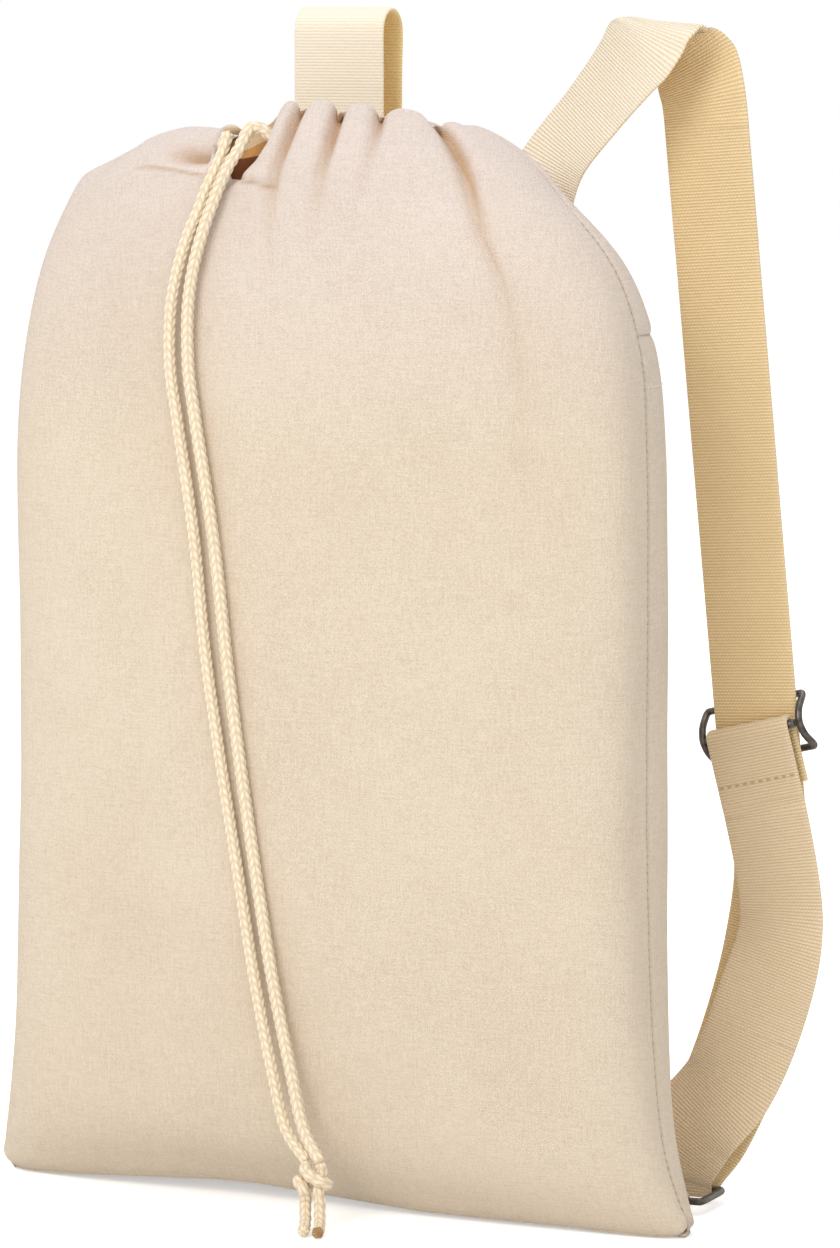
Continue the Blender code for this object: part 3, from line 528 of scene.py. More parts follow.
def gathered(grid, rim, foot, below, folds):  # rounded lobes between sharp valleys
    share = np.linspace(0, 1, grid.shape[1])
    fall = np.abs(below)
    places, deeps = [0 * below], [0 * below]
    for rimX, footX, deepness, reach in folds:
        start = np.interp(rimX, grid[rim, :, 0], share)
        end = np.interp(footX, grid[foot, :, 0], share)
        places.append(start + (end - start) * np.clip(below / below[foot], 0, 1.6))
        deeps.append(deepness / (1 + (fall / reach) ** 2.4))
    places.append(0 * below + 1)
    deeps.append(0 * below)
    wide = np.array([lengthOf(row) for row in grid])[:, None]
    total = np.zeros(grid.shape[:2])
    for k in range(len(places) - 1):
        low, high = places[k][:, None], places[k + 1][:, None]
        t = (share[None] - low) / (high - low)
        within = (t >= 0) & (t <= 1)
        off = np.abs(2 * np.clip(t, 0, 1) - 1)
        sharp = np.clip((high - low) * wide / 0.0055, 2.2, 12)
        deepness = np.where(t < 0.5, deeps[k][:, None], deeps[k + 1][:, None])
        swell = 0.36 * np.sqrt(deeps[k] * deeps[k + 1])[:, None] * (1 - off**2)
        total = np.where(within, swell - deepness * off**sharp, total)
    return total


def ripples(grid, seed, size):  # slow uneven swell of filled cloth
    draw = np.random.default_rng(seed)
    total = np.zeros(grid.shape[:2])
    for _ in range(14):
        way = unit(draw.normal(size=3) * (1.0, 0.5, 0.8))
        pitch = draw.uniform(0.045, 0.16)
        total += np.sin(grid @ way * (2 * math.pi / pitch) + draw.uniform(0, 6.28)) * pitch / 0.16
    return total * size / 4


def clothUv(grid):
    across = np.array([runOf(row) for row in grid])
    across = across - across[:, -1:] / 2
    step = np.linalg.norm(np.diff(grid, axis=0), axis=2).mean(1)
    up = np.broadcast_to(np.r_[0, np.cumsum(step)][:, None], across.shape)
    return np.stack([across, up], -1)


def rolled(grid, out, width=0.0030, turnIn=0.0016):  # the sides' edges roll in to their seam
    run = np.array([runOf(row) for row in grid])
    edge = np.minimum(run, run[:, -1:] - run)
    t = np.clip(edge / width, 0, 1)
    return grid - out * (turnIn * (1 - np.sqrt(np.clip(1 - (1 - t) ** 2, 0, 1))))[..., None]


def turnedIn(grid, steps, reach):  # adds the seam allowances that go inside from both side edges
    left = [grid[:, 0] + np.array((k * reach / steps, 0, 0)) for k in range(steps, 0, -1)]
    right = [grid[:, -1] - np.array((k * reach / steps, 0, 0)) for k in range(1, steps + 1)]
    return np.concatenate([np.stack(left, 1), grid, np.stack(right, 1)], 1)


def eased(grid, low, high, times):  # softens rows low to high, in place
    for _ in range(times):
        grid[low:high] = 0.25 * grid[low - 1:high - 1] + 0.5 * grid[low:high] + 0.25 * grid[low + 1:high + 1]
    return grid


columns = 300
middle = 0.5 * shoulderFrom + 0.05
shoulderHalf, shoulderLate, shoulderHigh = (tall - share * body["shoulder"] for share in (0.5, 0.3, 0.2))
frontRows = [
    (0.0018, body["baseFront"], 0.0004, 2.6), (0.022, -0.66 * deep, 0.024, 3.0), (0.050, -0.86 * deep, 0.056, 3.4),
    (0.110, -0.98 * deep, 0.112, 3.8), (middle, -deep, middle, 4.0),
    (shoulderFrom, -deep, shoulderFrom, 3.8), (shoulderHalf, -0.96 * deep, shoulderHalf, 3.2),
    (shoulderHigh, -0.86 * deep, shoulderHigh, 2.7), (panelTop, -body["footDeep"] / 2, panelTop, 2.4),
]
yokeRows = [
    (body["yoke"] + 0.0003, 0.97 * deep, body["yoke"] + 0.0003, 3.3),
    (shoulderLate, 0.91 * deep, shoulderLate, 2.9), (panelTop, body["footDeep"] / 2, panelTop, 2.4),
]
backRows = [
    (0.0016, body["baseFront"], -0.0006, 2.6), (0.0060, 0.4 * body["baseBack"], -0.004, 2.8),
    (0.0110, body["baseBack"], -0.004, 3.0), (0.0230, 0.97 * deep, 0.012, 3.2), (0.0500, 0.995 * deep, 0.042, 3.4),
    (0.1100, deep, 0.108, 3.8), (middle, deep, middle, 4.0), (shoulderFrom, deep, shoulderFrom, 3.8),
    (body["yoke"] - 0.0003, 0.97 * deep, body["yoke"] - 0.0003, 3.3),
]
casingAngles = np.r_[np.linspace(-62, 78, 40), np.linspace(81, 120, 14), np.linspace(126, 250, 22)]
quiet = ease(np.abs(np.linspace(-1, 1, columns)), 1.0, 0.93)[None]  # nothing moves at the side seams
mouth = {"bulge": 0.0044, "overCord": -0.0042, "swell": 0.0007, "inner": 0.010, "shadeFull": 0.0048}


def rowAngles(count):  # the casing's angle at each row of a mouth cloth
    return np.r_[np.full(count, -90.0), casingAngles][:, None]


def mouthCloth(side, rows, count, folds, seed, dip=None):
    panel = panelGrid(rows, side, count, columns)
    casing = casingGrid(side, casingAngles, columns, mouth["bulge"])
    grid = eased(np.concatenate([panel, casing]), count - 5, count + 4, 6)
    if dip:  # the rim hangs lower here
        drop = np.interp(grid[count:, :, 0], *np.array(dip).T)
        grid[count:, :, 2] -= drop * ease(np.sin(np.radians(casingAngles)), -0.6, 0.95)[:, None]
    rim = count + int(np.argmin(np.abs(casingAngles - 90)))
    run = runOf(grid[:, columns // 2])
    below = run[rim] - run
    uv = clothUv(grid)
    out = normalsOf(grid) * (1 if side < 0 else -1)
    out = unit(eased(out, count - 22, count + 14, 60))  # one way in across the casing's foot
    lift = gathered(grid, rim, count, below, folds)
    turned = np.r_[casingAngles[0] - (run[count] - run[:count]) * 4000, casingAngles]
    tunnel = np.exp(-(turned / np.where(turned < 0, 75, 52)) ** 4)[:, None]  # the cord inside holds the cloth out
    lift = lift + tunnel * np.maximum(0, mouth["overCord"] - lift)
    lift = lift * quiet
    lift += ripples(grid, seed, mouth["swell"]) * quiet * ease(grid[..., 2], 0.02, 0.08) * ease(below, 0.0, 0.03)[:, None]
    lift = lift * (1 - 1.6 * ease(-below[:, None], 0.0, mouth["inner"]))  # the inner wall goes in with the outer one
    lift = eased(lift, 1, len(lift) - 1, 3)
    grid = eased(grid + out * lift[..., None], count - 7, count + 7, 4)
    share = ease(-lift, 0.0018, 0.0042) * np.exp(-((np.arange(len(grid)) - count) / 11) ** 4)[:, None]
    soft = eased(grid.copy(), count - 14, count + 14, 60)
    eased(soft.swapaxes(0, 1), 1, columns - 1, 5)
    grid = grid + (soft - grid) * share[..., None]  # no fold-back at the foot of a deep valley
    # painted shade: the deeper a valley, the darker its colour
    creaseShade = np.clip(-lift / mouth["shadeFull"], 0, 1) ** 1.4 * (below[:, None] > -0.004)
    creaseShade = np.maximum(creaseShade, 0.55 * np.roll(creaseShade, -3, axis=1))  # more painted shade on the lobe to the left of a valley
    return grid, uv, out, creaseShade


settle = {
    "drop": 0.0046, "at": -0.097, "wide": 0.021, "heights": (0.355, 0.412),
    "frontX": (-0.146, -0.110, -0.076, -0.050, -0.033, 0.0, 0.040, 0.104, 0.140),
    "rise": (0.0, 0.0026, 0.0050, 0.0066, 0.0066, 0.0046, 0.0020, 0.0016, 0.0),
}


def settled(grid):  # the left shoulder hangs lower, and the base's front edge lifts off the floor
    x, y, z = np.moveaxis(grid, -1, 0)
    drop = settle["drop"] * np.exp(-((x - settle["at"]) / settle["wide"]) ** 2) * ease(z, *settle["heights"])
    rise = np.interp(x, settle["frontX"], settle["rise"]) * (1 - ease(z, 0.004, 0.050)) * (1 - ease(y, -0.004, 0.034))
    return grid + np.stack([0 * z, 0 * z, rise - drop], -1)


frontCount = 260
frontDip = [(-0.080, 0.0), (-0.061, 0.0030), (-0.044, 0.0078), (-0.0345, 0.0108), (-0.030, 0.0088), (-0.0235, 0.0058),
            (-0.0205, 0.0028), (-0.0150, 0.0)]
front, frontUv, frontOut, frontCrease = mouthCloth(-1, frontRows, frontCount, frontFolds, 11, frontDip)
print("front cloth", front.shape)

# slit in the casing where the cord comes out: its edges as height and X, widening upwards
slit = {
    "low": 0.4155, "lip": 0.0028, "sink": 0.0026, "columnsAt": (-0.0400, -0.0270), "reach": 16, "rowsBelow": 30,
    "rim": 104, "amber": 138, "dark": 176, "behind": (-0.048, -0.0185),  # angles, and what shows through, painted in gold, amber and dark shade
    "left": [(0.4155, -0.0335), (0.4215, -0.0350), (0.4280, -0.0430), (0.4460, -0.0440)],
    "right": [(0.4155, -0.0318), (0.4240, -0.0244), (0.4315, -0.0204), (0.4460, -0.0196)],
}


def slitEdges(height):
    return [np.interp(height, *np.array(slit[word]).T) for word in ("left", "right")]


frontAngles = rowAngles(frontCount)
inFront = frontAngles < slit["rim"]
edgeLow, edgeHigh = (int(np.argmin(np.abs(front[frontCount, :, 0] - x))) for x in slit["columnsAt"])
for row in range(frontCount - slit["rowsBelow"], front.shape[0]):  # two columns follow the slit's edges
    x, height = front[row, :, 0].copy(), front[row, edgeLow:edgeHigh + 1, 2].mean()
    pull = ease(height, slit["low"] - 0.010, slit["low"]) * (1 - ease(frontAngles[row, 0], 100, 150))
    marks = [edgeLow - slit["reach"], edgeLow, edgeHigh, edgeHigh + slit["reach"]]
    goal = [x[marks[0]], *slitEdges(height), x[marks[3]]]
    window = np.arange(marks[0], marks[3] + 1)
    moved = x[window] + pull * (np.interp(window, marks, goal) - x[window])
    front[row, window] = np.stack([moved] + [np.interp(moved, x, front[row, :, k]) for k in (1, 2)], 1)
x, z = front[..., 0], front[..., 2]
edgeLeft, edgeRight = slitEdges(z)
outside = np.maximum(np.maximum(edgeLeft - x, x - edgeRight), slit["low"] - z)
sunk = slit["sink"] * np.clip(1 - np.maximum(outside, 0) / slit["lip"], 0, 1) ** 2
frontKinds = np.zeros((front.shape[0] - 1, columns - 1), int)
slitRows = (front[:, edgeLow:edgeHigh, 2].mean(1) > slit["low"]) & inFront[:, 0]
frontKinds[slitRows[:-1], edgeLow:edgeHigh] = -1
behind = (~inFront & (x > slit["behind"][0]) & (x < slit["behind"][1]))[:-1, :-1]
shadeKind = 1 + (frontAngles > slit["amber"]).astype(int) + (frontAngles > slit["dark"])
frontKinds[behind] = np.broadcast_to(shadeKind, x.shape)[:-1, :-1][behind]


def within(x, a, b, c, d):  # rises from a to b and falls from c to d
    return ease(x, a, b) * (1 - ease(x, c, d))


# dimple left of the cords, with the casing's edge below it, and the slit's lower lip
dent = {"x": -0.0500, "z": 0.4258, "wide": 0.0110, "tall": 0.0034, "ends": (-0.0465, -0.0420), "deep": 0.0058, "paintedShade": 0.75}
hem = {"line": [(-0.0724, -0.0430), (0.4216, 0.4172)], "span": (-0.086, -0.066, -0.046, -0.040), "high": 0.0012, "paintedShade": 0.55}
lip = {"line": [(-0.0314, -0.0125), (0.4158, 0.4126)], "span": (-0.0345, -0.0300, -0.0165, -0.0110), "high": 0.0013, "paintedShade": 0.50}
crisp, fade, drawn = 0.0005, 0.0030, 0.0006  # an edge's sharpness, its run-out and the width of its painted shadow line
dimple = np.exp(-(np.minimum(x - dent["x"], 0) / dent["wide"]) ** 2 - ((z - dent["z"]) / dent["tall"]) ** 2)
dimple = dimple * (1 - ease(x, *dent["ends"]))
overHem, overLip = (z - np.interp(x, *edge["line"]) for edge in (hem, lip))
onHem, onLip = (within(x, *edge["span"]) for edge in (hem, lip))
hemStep = (0.5 + 0.5 * np.tanh(overHem / crisp)) * np.exp(-np.maximum(overHem, 0) / fade) * onHem
lipStep = (0.5 - 0.5 * np.tanh(overLip / crisp)) * np.exp(np.minimum(overLip, 0) / fade)
lipStep = (lipStep - 1.6 * np.exp(-((overLip - 0.0014) / 0.0013) ** 2)) * onLip
shaped = hem["high"] * hemStep + lip["high"] * lipStep - dent["deep"] * dimple
front = front + frontOut * np.where(inFront, shaped - sunk, 0.0)[..., None]
# painted shadow lines along the hem and lip edges, and painted shade in the dimple
shadowLines = hem["paintedShade"] * np.exp(-(overHem / drawn) ** 2) * onHem + lip["paintedShade"] * np.exp(-((overLip - drawn) / drawn) ** 2) * onLip
frontCrease = np.clip(np.where(inFront, frontCrease + dent["paintedShade"] * dimple + shadowLines, 0.0), 0, 1)
front = settled(rolled(front, frontOut))
bottomRoll = 0.0006 * (1 - ease(np.arange(front.shape[0]), -1, 3))
front = front - frontOut * bottomRoll[:, None, None]


def bagCloth(name, grid, uv, nodes, creaseShade=None, kinds=None, flip=False):  # kinds: a face's finish, -1 leaves it out
    steps, allowance = 4, 0.008
    sides = ((0, 0), (steps, steps))
    wide = turnedIn(grid, steps, allowance)
    more = allowance / steps * np.arange(1, steps + 1)[None, :, None] * (1, 0)
    pad = np.concatenate([uv[:, :1] - more[:, ::-1], uv, uv[:, -1:] + more], 1)
    faces = gridFaces(*wide.shape[:2])
    if kinds is not None:
        kinds = np.pad(kinds, sides).ravel()
        faces, kinds = faces[kinds >= 0], kinds[kinds >= 0]
    if flip:
        faces = faces[:, ::-1]
    made = meshOf(name, wide, faces.tolist(), [canvas, canvasGoldShade, canvasAmberShade, canvasShade], pad, kinds)
    tint(made, "creaseShade", np.zeros(wide.shape[:2]) if creaseShade is None else np.pad(creaseShade, sides))
    return dressed(made, nodes, "bag")


frontNodes = ["front_panel", "casing_front", "bottom_seam", "side_seam_left", "side_seam_right"]
frontCloth = bagCloth("front_cloth", front, frontUv, frontNodes, frontCrease, frontKinds)

yokeCount = 50
yoke, yokeUv, yokeOut, yokeCrease = mouthCloth(1, yokeRows, yokeCount, backFolds, 23)
yoke = settled(rolled(yoke, yokeOut))
yoke[:3] -= yokeOut[:3] * np.array((0.0009, 0.0004, 0.0001))[:, None, None]
yokeKinds = np.zeros((yoke.shape[0] - 1, columns - 1), int)
shadedInside = (rowAngles(yokeCount) > 88) & (yoke[..., 0] > -0.070) & (yoke[..., 0] < -0.030)  # painted golden shade where it shows through the slit
yokeKinds[shadedInside[:-1, :-1]] = 1
yokeCloth = bagCloth("yoke_cloth", yoke, yokeUv, ["back_yoke", "casing_back"], yokeCrease, yokeKinds, True)

backCount = 250
back = panelGrid(backRows, 1, backCount, columns)
backOut = -normalsOf(back)
back = back + backOut * (ripples(back, 37, 0.0006) * (quiet * ease(back[..., 2], 0.01, 0.06)))[..., None]
back = settled(rolled(back, backOut))
back[-3:] -= backOut[-3:] * np.array((0.0001, 0.0004, 0.0009))[:, None, None]
hidden = np.arange(1, 5)[:, None, None]
tuckTop = back[-1] - backOut[-1] * 0.0008 * hidden + np.array((0, 0, 0.0016)) * hidden  # allowances go on inside
tuckLow = (back[0] + np.array((0, 0.0006, 0.0016)) * hidden)[::-1]
backWide = np.concatenate([tuckLow, back, tuckTop])
backCloth = bagCloth("back_cloth", backWide, clothUv(backWide), ["back_panel"], flip=True)
print("bag cloth made")

# stitching of the hem below the yoke and of the side seams
hemRow = int(np.argmin(np.abs(back[:, columns // 2, 2] - (body["yoke"] - 0.020))))
stitchRow("stitch_hem", back[hemRow, 2:-2], backOut[hemRow, 2:-2], "bag", thread)
for word, side in (("left", -1), ("right", 1)):
    heights = np.linspace(0.012, 0.40, 260)
    wide, seamY, shift = seamAt(heights).T
    line = np.stack([shift + side * (wide - 0.0010), seamY, heights], 1)
    stitchRow(f"stitch_side_{word}", line, (side, 0.0, 0.0), "bag", threadTan, every=0.0034, long=0.0018, thick=0.00024)

# the cord's hidden loop inside the casing
frontHalf, backHalf = (casingGrid(side, [-8.0], 400, -0.0034)[0] for side in (-1, 1))
fromRight, toLeft = (cordRoutes[word][0][0] for word in ("right", "left"))
loopLine = [frontHalf[frontHalf[:, 0] > fromRight], backHalf[::-1], frontHalf[frontHalf[:, 0] < toLeft]]
cordLoop = cordMesh("drawcord_hidden_loop", smooth(np.concatenate(loopLine)[::12], 500), [cotton], 0.0008)[0]
dressed(cordLoop, ["drawcord_loop"], "bag")

# overhand knot and its tails
knotAt = np.array((0.0115, -0.0505, 0.0195))
tailReach, tailLow, tailTop, tailSpread = 0.0135, 0.0028, knotAt[2] - 0.0073, 0.0032
strands = {  # millimetres from the knot's middle
    "left": [(-3.0, 0.8, 8.3), (-2.6, -1.2, 5.4), (1.6, -3.2, 2.9), (5.6, -1.5, 1.0), (5.6, 2.2, -0.4), (0.4, 3.5, -0.8),
             (-5.0, 2.2, -0.2), (-5.8, -1.2, 0.6), (-3.0, -3.3, -1.4), (-2.8, -1.2, -4.6), (-3.2, 0.0, -7.3)],
    "right": [(3.0, 0.8, 8.3), (3.2, 1.4, 4.6), (2.4, 0.8, 0.4), (2.8, -0.4, -3.8), (3.2, 0.0, -7.3)],
}
for word, side in (("left", -1), ("right", 1)):
    x, y, drop = knotAt[0] + side * tailSpread, knotAt[1], tailTop - tailLow
    tail = [(x, y - 0.02 * tailReach, tailTop - 0.3 * drop), (x + 0.10 * tailReach, y - 0.22 * tailReach, tailLow + 0.2 * drop),
            (x + 0.25 * tailReach, y - 0.59 * tailReach, tailLow), (x + 0.40 * tailReach, y - tailReach, tailLow)]
    route = [knotAt + np.array(p) * 0.001 for p in strands[word]] + [np.array(p) for p in tail]
    made, path = cordMesh(f"drawcord_knot_{word}", smooth(route, 300), [cotton] if side < 0 else [cotton, cutCotton])
    dressed(made, [f"drawcord_{word}_tail", "drawcord_knot"], "cord_end")
for word, (made, path) in runs.items():
    dressed(made, [f"drawcord_{word}_run"])
    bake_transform(made)
    lengthOf(path)
print("cords and knot made")


# webbing: flat, with thicker selvages; the face is pale and the inner side is painted golden shade

web = {"wide": 0.040, "thick": 0.0020, "step": 0.0012}
halfTurn = [math.pi * k / 8 for k in range(9)]


def ribbonMesh(name, line, way=None, wide=web["wide"], step=web["step"], face=webbing, inner=webbingShadeTan):
    if way is not None:  # or each point of the line has its own
        line = np.c_[line, np.broadcast_to(way, np.shape(line))]
    count = max(8, int(lengthOf(line[:, :3]) / step))
    middle, way = np.split(spread(line, count), 2, axis=1)
    along = unit(np.gradient(middle, axis=0))
    way = unit(way - (way * along).sum(1, keepdims=True) * along)
    outward = np.cross(way, along)
    across = np.sin(np.linspace(-math.pi / 2, math.pi / 2, 17))
    selvage = 0.10 * np.exp(-((np.abs(across) - 0.93) / 0.05) ** 2)
    girth = web["thick"] / 2 * (np.sqrt(1 - 0.94 * np.abs(across) ** 24) + selvage)
    a = np.r_[across, across[::-1]]
    g = np.r_[girth, -girth[::-1]]
    grid = middle[:, None] + way[:, None] * (a * wide / 2)[None, :, None] + outward[:, None] * g[None, :, None]
    ring = len(a)
    faces = gridFaces(count, ring, True).tolist()
    kinds = np.r_[np.where((np.arange(len(faces)) % ring) < len(across) - 1, 0, 1), 0, 0]
    uv = np.stack(np.broadcast_arrays(runOf(middle)[:, None], (a * wide / 2)[None]), -1)
    made = meshOf(name, grid, faces + endCaps(count, ring), [face, inner], uv, kinds)
    made.data.set_sharp_from_angle(angle=math.radians(60))
    return made


def wireMesh(name, corners, radius, closed=True):  # bent wire with rounded corners
    line = np.asarray(corners, float)
    if closed:
        for _ in range(4):
            after = np.roll(line, -1, axis=0)
            line = np.stack([0.80 * line + 0.20 * after, 0.20 * line + 0.80 * after], 1).reshape(-1, 3)
    count, sides = len(line), 20
    along = unit(np.roll(line, -1, axis=0) - np.roll(line, 1, axis=0) if closed else np.gradient(line, axis=0))
    side = carried(along, (0.3, 0.5, 0.81))
    faces = gridFaces(count, sides, True).tolist()
    if closed:  # the frame comes back to its start with no twist
        back = side[-1] - along[0] * np.dot(side[-1], along[0])
        miss = math.atan2(np.dot(np.cross(back, side[0]), along[0]), np.dot(back, side[0]))
        for k in range(count):
            twist = miss * k / count
            side[k] = side[k] * math.cos(twist) + np.cross(along[k], side[k]) * math.sin(twist)
        last = (count - 1) * sides
        faces += [(last + k, last + (k + 1) % sides, (k + 1) % sides, k) for k in range(sides)]
    else:
        faces += endCaps(count, sides)
    turn = np.linspace(0, 2 * math.pi, sides, endpoint=False)
    return meshOf(name, tubeGrid(line, along, side, turn, radius), faces, [metal])


# hang loop with its sewn foot
loop = {"x": -0.020, "y": 0.0404, "from": 0.3833, "height": 0.484, "spread": 0.018}
low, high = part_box("hang_loop_base")
y, start, spare = loop["y"], loop["from"], loop["spread"]
turn = spare / 2
top = loop["height"] - turn - web["thick"] / 2
loopLine = [(high.y - 0.0004, low.z), (0.5 * (high.y + y), 0.5 * (low.z + start)), (y, start), (y, 0.5 * (start + top)),
            (y, top - 0.010)]
loopLine += [(y + turn - turn * math.cos(a), top + turn * math.sin(a)) for a in halfTurn]
loopLine += [(y + spare * 0.97, top - 0.014), (y + spare * 0.86, 0.5 * (start + top) - 0.004), (y + 0.0062, start + 0.020),
             (y + 0.0026, start + 0.006), (y + 0.0026, start - 0.008), (high.y + 0.0018, low.z + 0.0015)]
loopPath = smooth([(loop["x"], *at) for at in loopLine], 300)
hang = ribbonMesh("hang_loop_webbing", loopPath, (1.0, 0.0, 0.0), face=webbingLitPale, inner=webbingLitGold)
dressed(hang, ["hang_loop", "hang_loop_base"])
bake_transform(hang)


# shoulder straps, on the solids' own points or a few millimetres from them

gap, seat, wire, lead = 0.0003, 0.0004, 0.003, 0.006
wrapTurn = wire / 2 + gap + web["thick"] / 2
centreBar = web["thick"] / 2 + seat + web["thick"] + wire / 2 + gap
outerBar = -(web["thick"] / 2 + seat + wire / 2)
ringHalf = web["wide"] / 2 + 0.0025
foldLong, sliderLong, ringReach = 0.028, 0.025, 0.024
footSeam, foldSeam = (np.linspace(-reach, reach, 30) for reach in (0.0180, 0.0175))
proud = web["thick"] / 2 + 0.0001
tab = {"wide": 0.036, "thick": 0.0016}
straps = {
    "right": {
        "base": (0.060, 0.0395, 0.3833), "ring": (0.117, 0.041, 0.0052), "way": (1.0, -0.2, 0.0), "tilt": 10,
        "top": [(0.0620, 0.0455, 0.4010), (0.0700, 0.0515, 0.4220), (0.0860, 0.0565, 0.4440), (0.0990, 0.0592, 0.4610),
                (0.1055, 0.0605, 0.4700), (0.1090, 0.0640, 0.4754), (0.1117, 0.0695, 0.4773), (0.1144, 0.0748, 0.4720),
                (0.1197, 0.0775, 0.4636), (0.1243, 0.0760, 0.4512)],
        "topWay": [(0.95, -0.20, -0.15), (0.82, -0.48, -0.28), (0.79, -0.50, -0.30), (0.86, -0.38, -0.23),
                   (0.93, -0.25, -0.17), (0.96, -0.22, -0.06), (0.97, -0.24, -0.10), (0.97, -0.28, -0.20),
                   (0.97, -0.22, -0.08), (0.985, -0.20, 0.03)],
        "run": [(0.1265, 0.0760, 0.4350), (0.1480, 0.0850, 0.1780)],
        "outer": [(0.1530, 0.0905, 0.1350), (0.1490, 0.0945, 0.1000), (0.1368, 0.0930, 0.0560), (0.1240, 0.0830, 0.0210),
                  (0.1185, 0.0730, 0.0090)],
        "inner": [(0.1175, 0.0613, 0.0120), (0.1270, 0.0630, 0.0290), (0.1425, 0.0680, 0.0500), (0.1540, 0.0745, 0.0830),
                  (0.1606, 0.0775, 0.1150)],
    },
    "left": {
        "base": (-0.084, 0.0385, 0.3833), "ring": (-0.117, 0.041, 0.0052), "way": (1.0, 0.0, 0.0), "tilt": 0,
        "top": [(-0.0845, 0.0500, 0.4000), (-0.0860, 0.0570, 0.4085), (-0.0875, 0.0660, 0.4070), (-0.0890, 0.0715, 0.3960)],
        "topWay": [(1, 0, 0)] * 4,
        "run": [(-0.0900, 0.0740, 0.3800), (-0.1130, 0.0890, 0.1500)],
        "outer": [(-0.1155, 0.0955, 0.1150), (-0.1175, 0.0985, 0.0800), (-0.1185, 0.0940, 0.0420), (-0.1175, 0.0815, 0.0150)],
        "inner": [(-0.1175, 0.0640, 0.0300), (-0.1180, 0.0755, 0.0600), (-0.1175, 0.0800, 0.0900)],
    },
}


def strapPieces(word, plan):
    strapBody, sliderBody = f"{word}_strap", f"{word}_slider"
    base, ring = np.array(plan["base"]), np.array(plan["ring"])
    farBar = ring + (0, ringReach, 0)
    runFrom, runTo = (np.array(p) for p in plan["run"])
    down = unit(runTo - runFrom)
    way = np.array(plan["way"])
    way = unit(way - np.dot(way, down) * down)
    inward = unit(np.cross(way, down))
    inward = -inward if inward[1] > 0 else inward
    square = (1.0, 0.0, 0.0)

    def ribbon(part, line, node, body=None, *more, face=webbingShadeWarm):
        return dressed(ribbonMesh(f"{part}_{word}", line, *more, face=face), [f"{n}_{word}" for n in node], body)

    def stitches(part, line, out, body, every, long):
        stitchRow(f"{part}_{word}", line, out, body, threadTan, every=every, long=long, thick=0.0004)

    def bent(part, line, node, body, closed=True):
        dressed(wireMesh(f"{part}_{word}", line, wire / 2, closed), [f"{node}_{word}"], body)

    def routed(points, ways, count):
        return smooth(np.c_[np.array(points), np.array(ways)], count)

    # sewn foot, turn over the shoulder, straight run
    low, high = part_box(f"strap_base_{word}")
    x, y, z = base
    foot = [(x, high.y - 0.0003, low.z), (x, 0.5 * (high.y + y) + 0.0004, 0.5 * (low.z + z)), (x, y + 0.0005, z),
            (x, y + 0.0006, z + lead)]
    route = [*foot, *plan["top"], runFrom - down * lead, runFrom]
    top = routed(route, [square] * len(foot) + plan["topWay"] + [way] * 2, 400)
    shoulder = ribbon("strap_shoulder", top, ["strap_base", "strap_top"], face=webbing)
    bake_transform(shoulder)
    sewn = top[int(np.argmin(np.abs(top[:60, 2] - low.z - 0.0045))), :3] + (0, proud, 0)
    stitches("stitch_foot", [sewn + (x, 0, 0) for x in footSeam], (0.0, 1.0, 0.0), "bag", 0.0036, 0.0024)
    ribbon("strap_straight", np.linspace(runFrom - down * 0.0008, runTo, 60), ["strap_run"], strapBody, way, face=webbing)

    # slider with the sewn fold round its bar
    tilt = math.radians(plan["tilt"])
    barWay = way * math.cos(tilt) - down * math.sin(tilt)
    foldWay = down * math.cos(tilt) + way * math.sin(tilt)
    slider = runTo - down * (sliderLong / 2 + 0.002)
    reach = sliderLong / 2 - wire / 2

    def local(x, along, level):
        return slider + barWay * x - foldWay * along + inward * level

    corners = []
    for sx, order in ((1, (1, 0.5, 0, -0.5, -1)), (-1, (-1, -0.5, 0, 0.5, 1))):
        for s in order:
            corners.append(local(sx * (ringHalf + wire / 2), s * reach, outerBar + (centreBar - outerBar) * (1 - s * s)))
        straight = web["wide"] / 2 + 0.0008  # the bars don't bend over the strap
        corners += [local(x * straight, -sx * reach, outerBar) for x in (sx, -sx)]
    bent("slider_wire", corners, "slider_frame", sliderBody)
    bar = [local(x, 0, centreBar) for x in np.linspace(-ringHalf + gap, ringHalf - gap, 12)]
    bent("slider_crossbar", bar, "slider_bar", sliderBody, False)
    upper, under = centreBar + wrapTurn, centreBar - wrapTurn
    innerTo = local(0, -foldLong - gap, upper)
    fold = [innerTo, local(0, -foldLong * 0.66, upper), local(0, -foldLong * 0.33, upper)]
    fold += [local(0, wrapTurn * math.sin(a), centreBar + wrapTurn * math.cos(a)) for a in halfTurn]
    fold += [local(0, -foldLong * 0.4, under), local(0, -foldLong + 0.004, under)]
    ribbon("strap_sewn_fold", smooth(fold, 160), ["strap_fold"], sliderBody, barWay, web["wide"], 0.0008)
    sewn = [local(x, -foldLong * 0.72, upper + proud) for x in foldSeam]
    stitches("stitch_fold", sewn, inward, sliderBody, 0.0040, 0.0026)

    # lower loop: down behind, round the ring's far bar and up to the fold
    bends = [math.radians(-48 - 132 * k / 12) for k in range(13)]
    wrap = [farBar + (0, wrapTurn * math.cos(a), wrapTurn * math.sin(a)) for a in bends]
    outer = [*(runTo + down * lead * k for k in range(4)), *plan["outer"], wrap[0]]
    inner = [wrap[-1], *plan["inner"], innerTo + foldWay * lead, innerTo + foldWay * 0.4 * lead, innerTo]
    outer = routed(outer, [way] * 5 + [square] * len(plan["outer"]), 200)
    inner = routed(inner, [square] * len(plan["inner"]) + [barWay] * 4, 200)
    split = int(np.argmin(np.abs(inner[:, 2] - 0.070)))
    turned = np.c_[np.array(wrap[1:-1]), np.tile(square, (len(wrap) - 2, 1))]
    lower = ribbon("strap_lower", np.vstack([outer, turned, inner[:split + 1]]), ["strap_loop"])
    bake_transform(lower)
    back = ribbon("strap_return", inner[split:], ["strap_loop"])
    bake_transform(back)

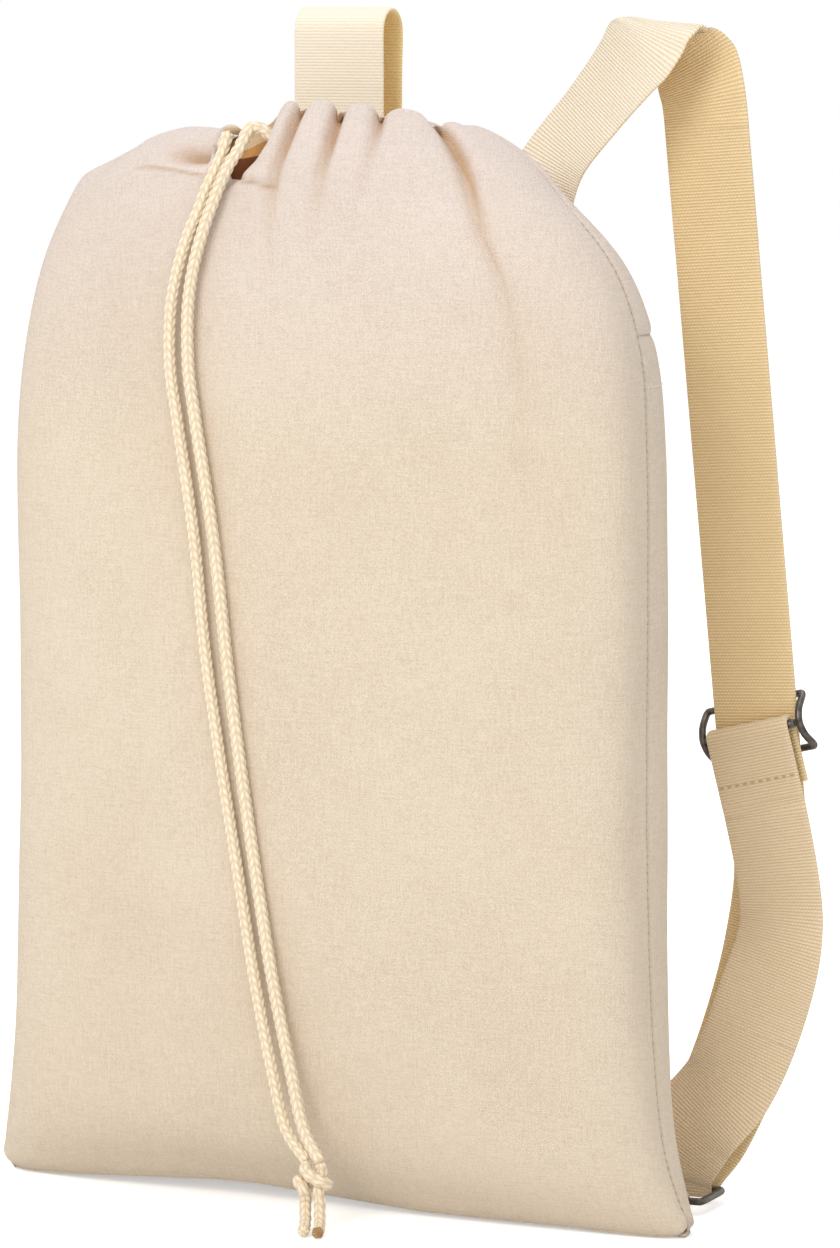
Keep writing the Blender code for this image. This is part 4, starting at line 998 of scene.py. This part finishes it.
    # ring, in its tab
    x = ringHalf + wire / 2
    ends = [ring + (sx * x, sy * ringReach, 0) for sx, sy in ((-1, 0), (1, 0), (1, 1), (-1, 1))]
    frameLine = [a + (b - a) * t for a, b in zip(ends, ends[1:] + ends[:1]) for t in (0.04, 0.5, 0.96)]
    bent("ring_wire", frameLine, "ring", f"{word}_ring_body")
    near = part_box(f"ring_tab_{word}")[0].y + 0.0005
    halfway = 0.5 * (near - 0.0005 + ring[1])
    r = wire / 2 + gap + tab["thick"] / 2
    line = [(near, ring[2] + r), (halfway, ring[2] + r)]
    line += [(ring[1] + r * math.cos(math.pi / 2 - a), ring[2] + r * math.sin(math.pi / 2 - a)) for a in halfTurn]
    line += [(halfway, ring[2] - r), (near, ring[2] - r)]
    path = smooth([(ring[0], *at) for at in line], 120)
    ribbon("ring_tab_webbing", path, ["ring_tab"], "bag", (-1.0, 0.0, 0.0), tab["wide"], 0.0008, face=webbing)


for word, plan in straps.items():
    strapPieces(word, plan)
print("straps made")


# floor, light and background

def stageFinish():
    made = Finish("floor_pale", 0.85)
    cloud = made.grain(made.place(), 1.2, 2.0)
    seen = made.node("LightPath", out="Is Camera Ray")  # white to the camera, no light on the object
    made.give("Emission Color", seen)
    made.give("Emission Strength", 0.46)
    return made.wear(made.ramp(cloud, [(0.3, (0.94, 0.94, 0.94)), (0.7, (0.95, 0.95, 0.95))]), cloud, 0.02, 0.001)


floor = meshOf("floor", [(-8, -8, 0), (8, -8, 0), (8, 8, 0), (-8, 8, 0)], [(0, 1, 2, 3)], [stageFinish()])
lamps = {
    "key": {"at": (-0.35, -2.8, 2.1), "aim": (0.0, 0.0, 0.26), "size": 1.5, "power": 40.0, "colour": (1.0, 0.97, 0.93)},
    "fill": {"at": (1.1, -2.4, 0.5), "aim": (0.02, 0.0, 0.12), "size": 2.0, "power": 9.0, "colour": (1.0, 0.97, 0.94)},
    "back": {"at": (-0.5, 2.6, 1.6), "aim": (0.0, 0.0, 0.24), "size": 1.6, "power": 16.0, "colour": (1.0, 0.98, 0.96)},
    "top": {"at": (0.2, 0.2, 2.8), "aim": (0.0, 0.0, 0.3), "size": 1.6, "power": 20.0, "colour": (0.88, 0.91, 1.0)},
}
for name, plan in lamps.items():
    light = bpy.data.lights.new(name, "AREA")
    light.size = plan["size"]
    light.energy = plan["power"]
    light.color = plan["colour"]
    aimed(bpy.data.objects.new(name, light), plan)

world = bpy.data.worlds.new("studio")
scene.world = world
world.use_nodes = True
tree = world.node_tree
tree.nodes.clear()
output = tree.nodes.new("ShaderNodeOutputWorld")
backgrounds = []
for colour, strength in (((0.99, 0.985, 1.0, 1.0), 0.66), ((1.0, 1.0, 1.0, 1.0), 1.0)):  # what lights, what shows
    made = tree.nodes.new("ShaderNodeBackground")
    made.inputs["Color"].default_value = colour
    made.inputs["Strength"].default_value = strength
    backgrounds.append(made)
rays, both, direct = [tree.nodes.new("ShaderNode" + kind) for kind in ("LightPath", "MixShader", "Math")]
direct.operation = "MAXIMUM"
for k, name in enumerate(("Is Camera Ray", "Is Glossy Ray")):
    tree.links.new(rays.outputs[name], direct.inputs[k])
tree.links.new(direct.outputs[0], both.inputs[0])
for k, made in enumerate(backgrounds):
    tree.links.new(made.outputs[0], both.inputs[1 + k])
tree.links.new(both.outputs[0], output.inputs["Surface"])
scene.view_settings.view_transform = "Standard"
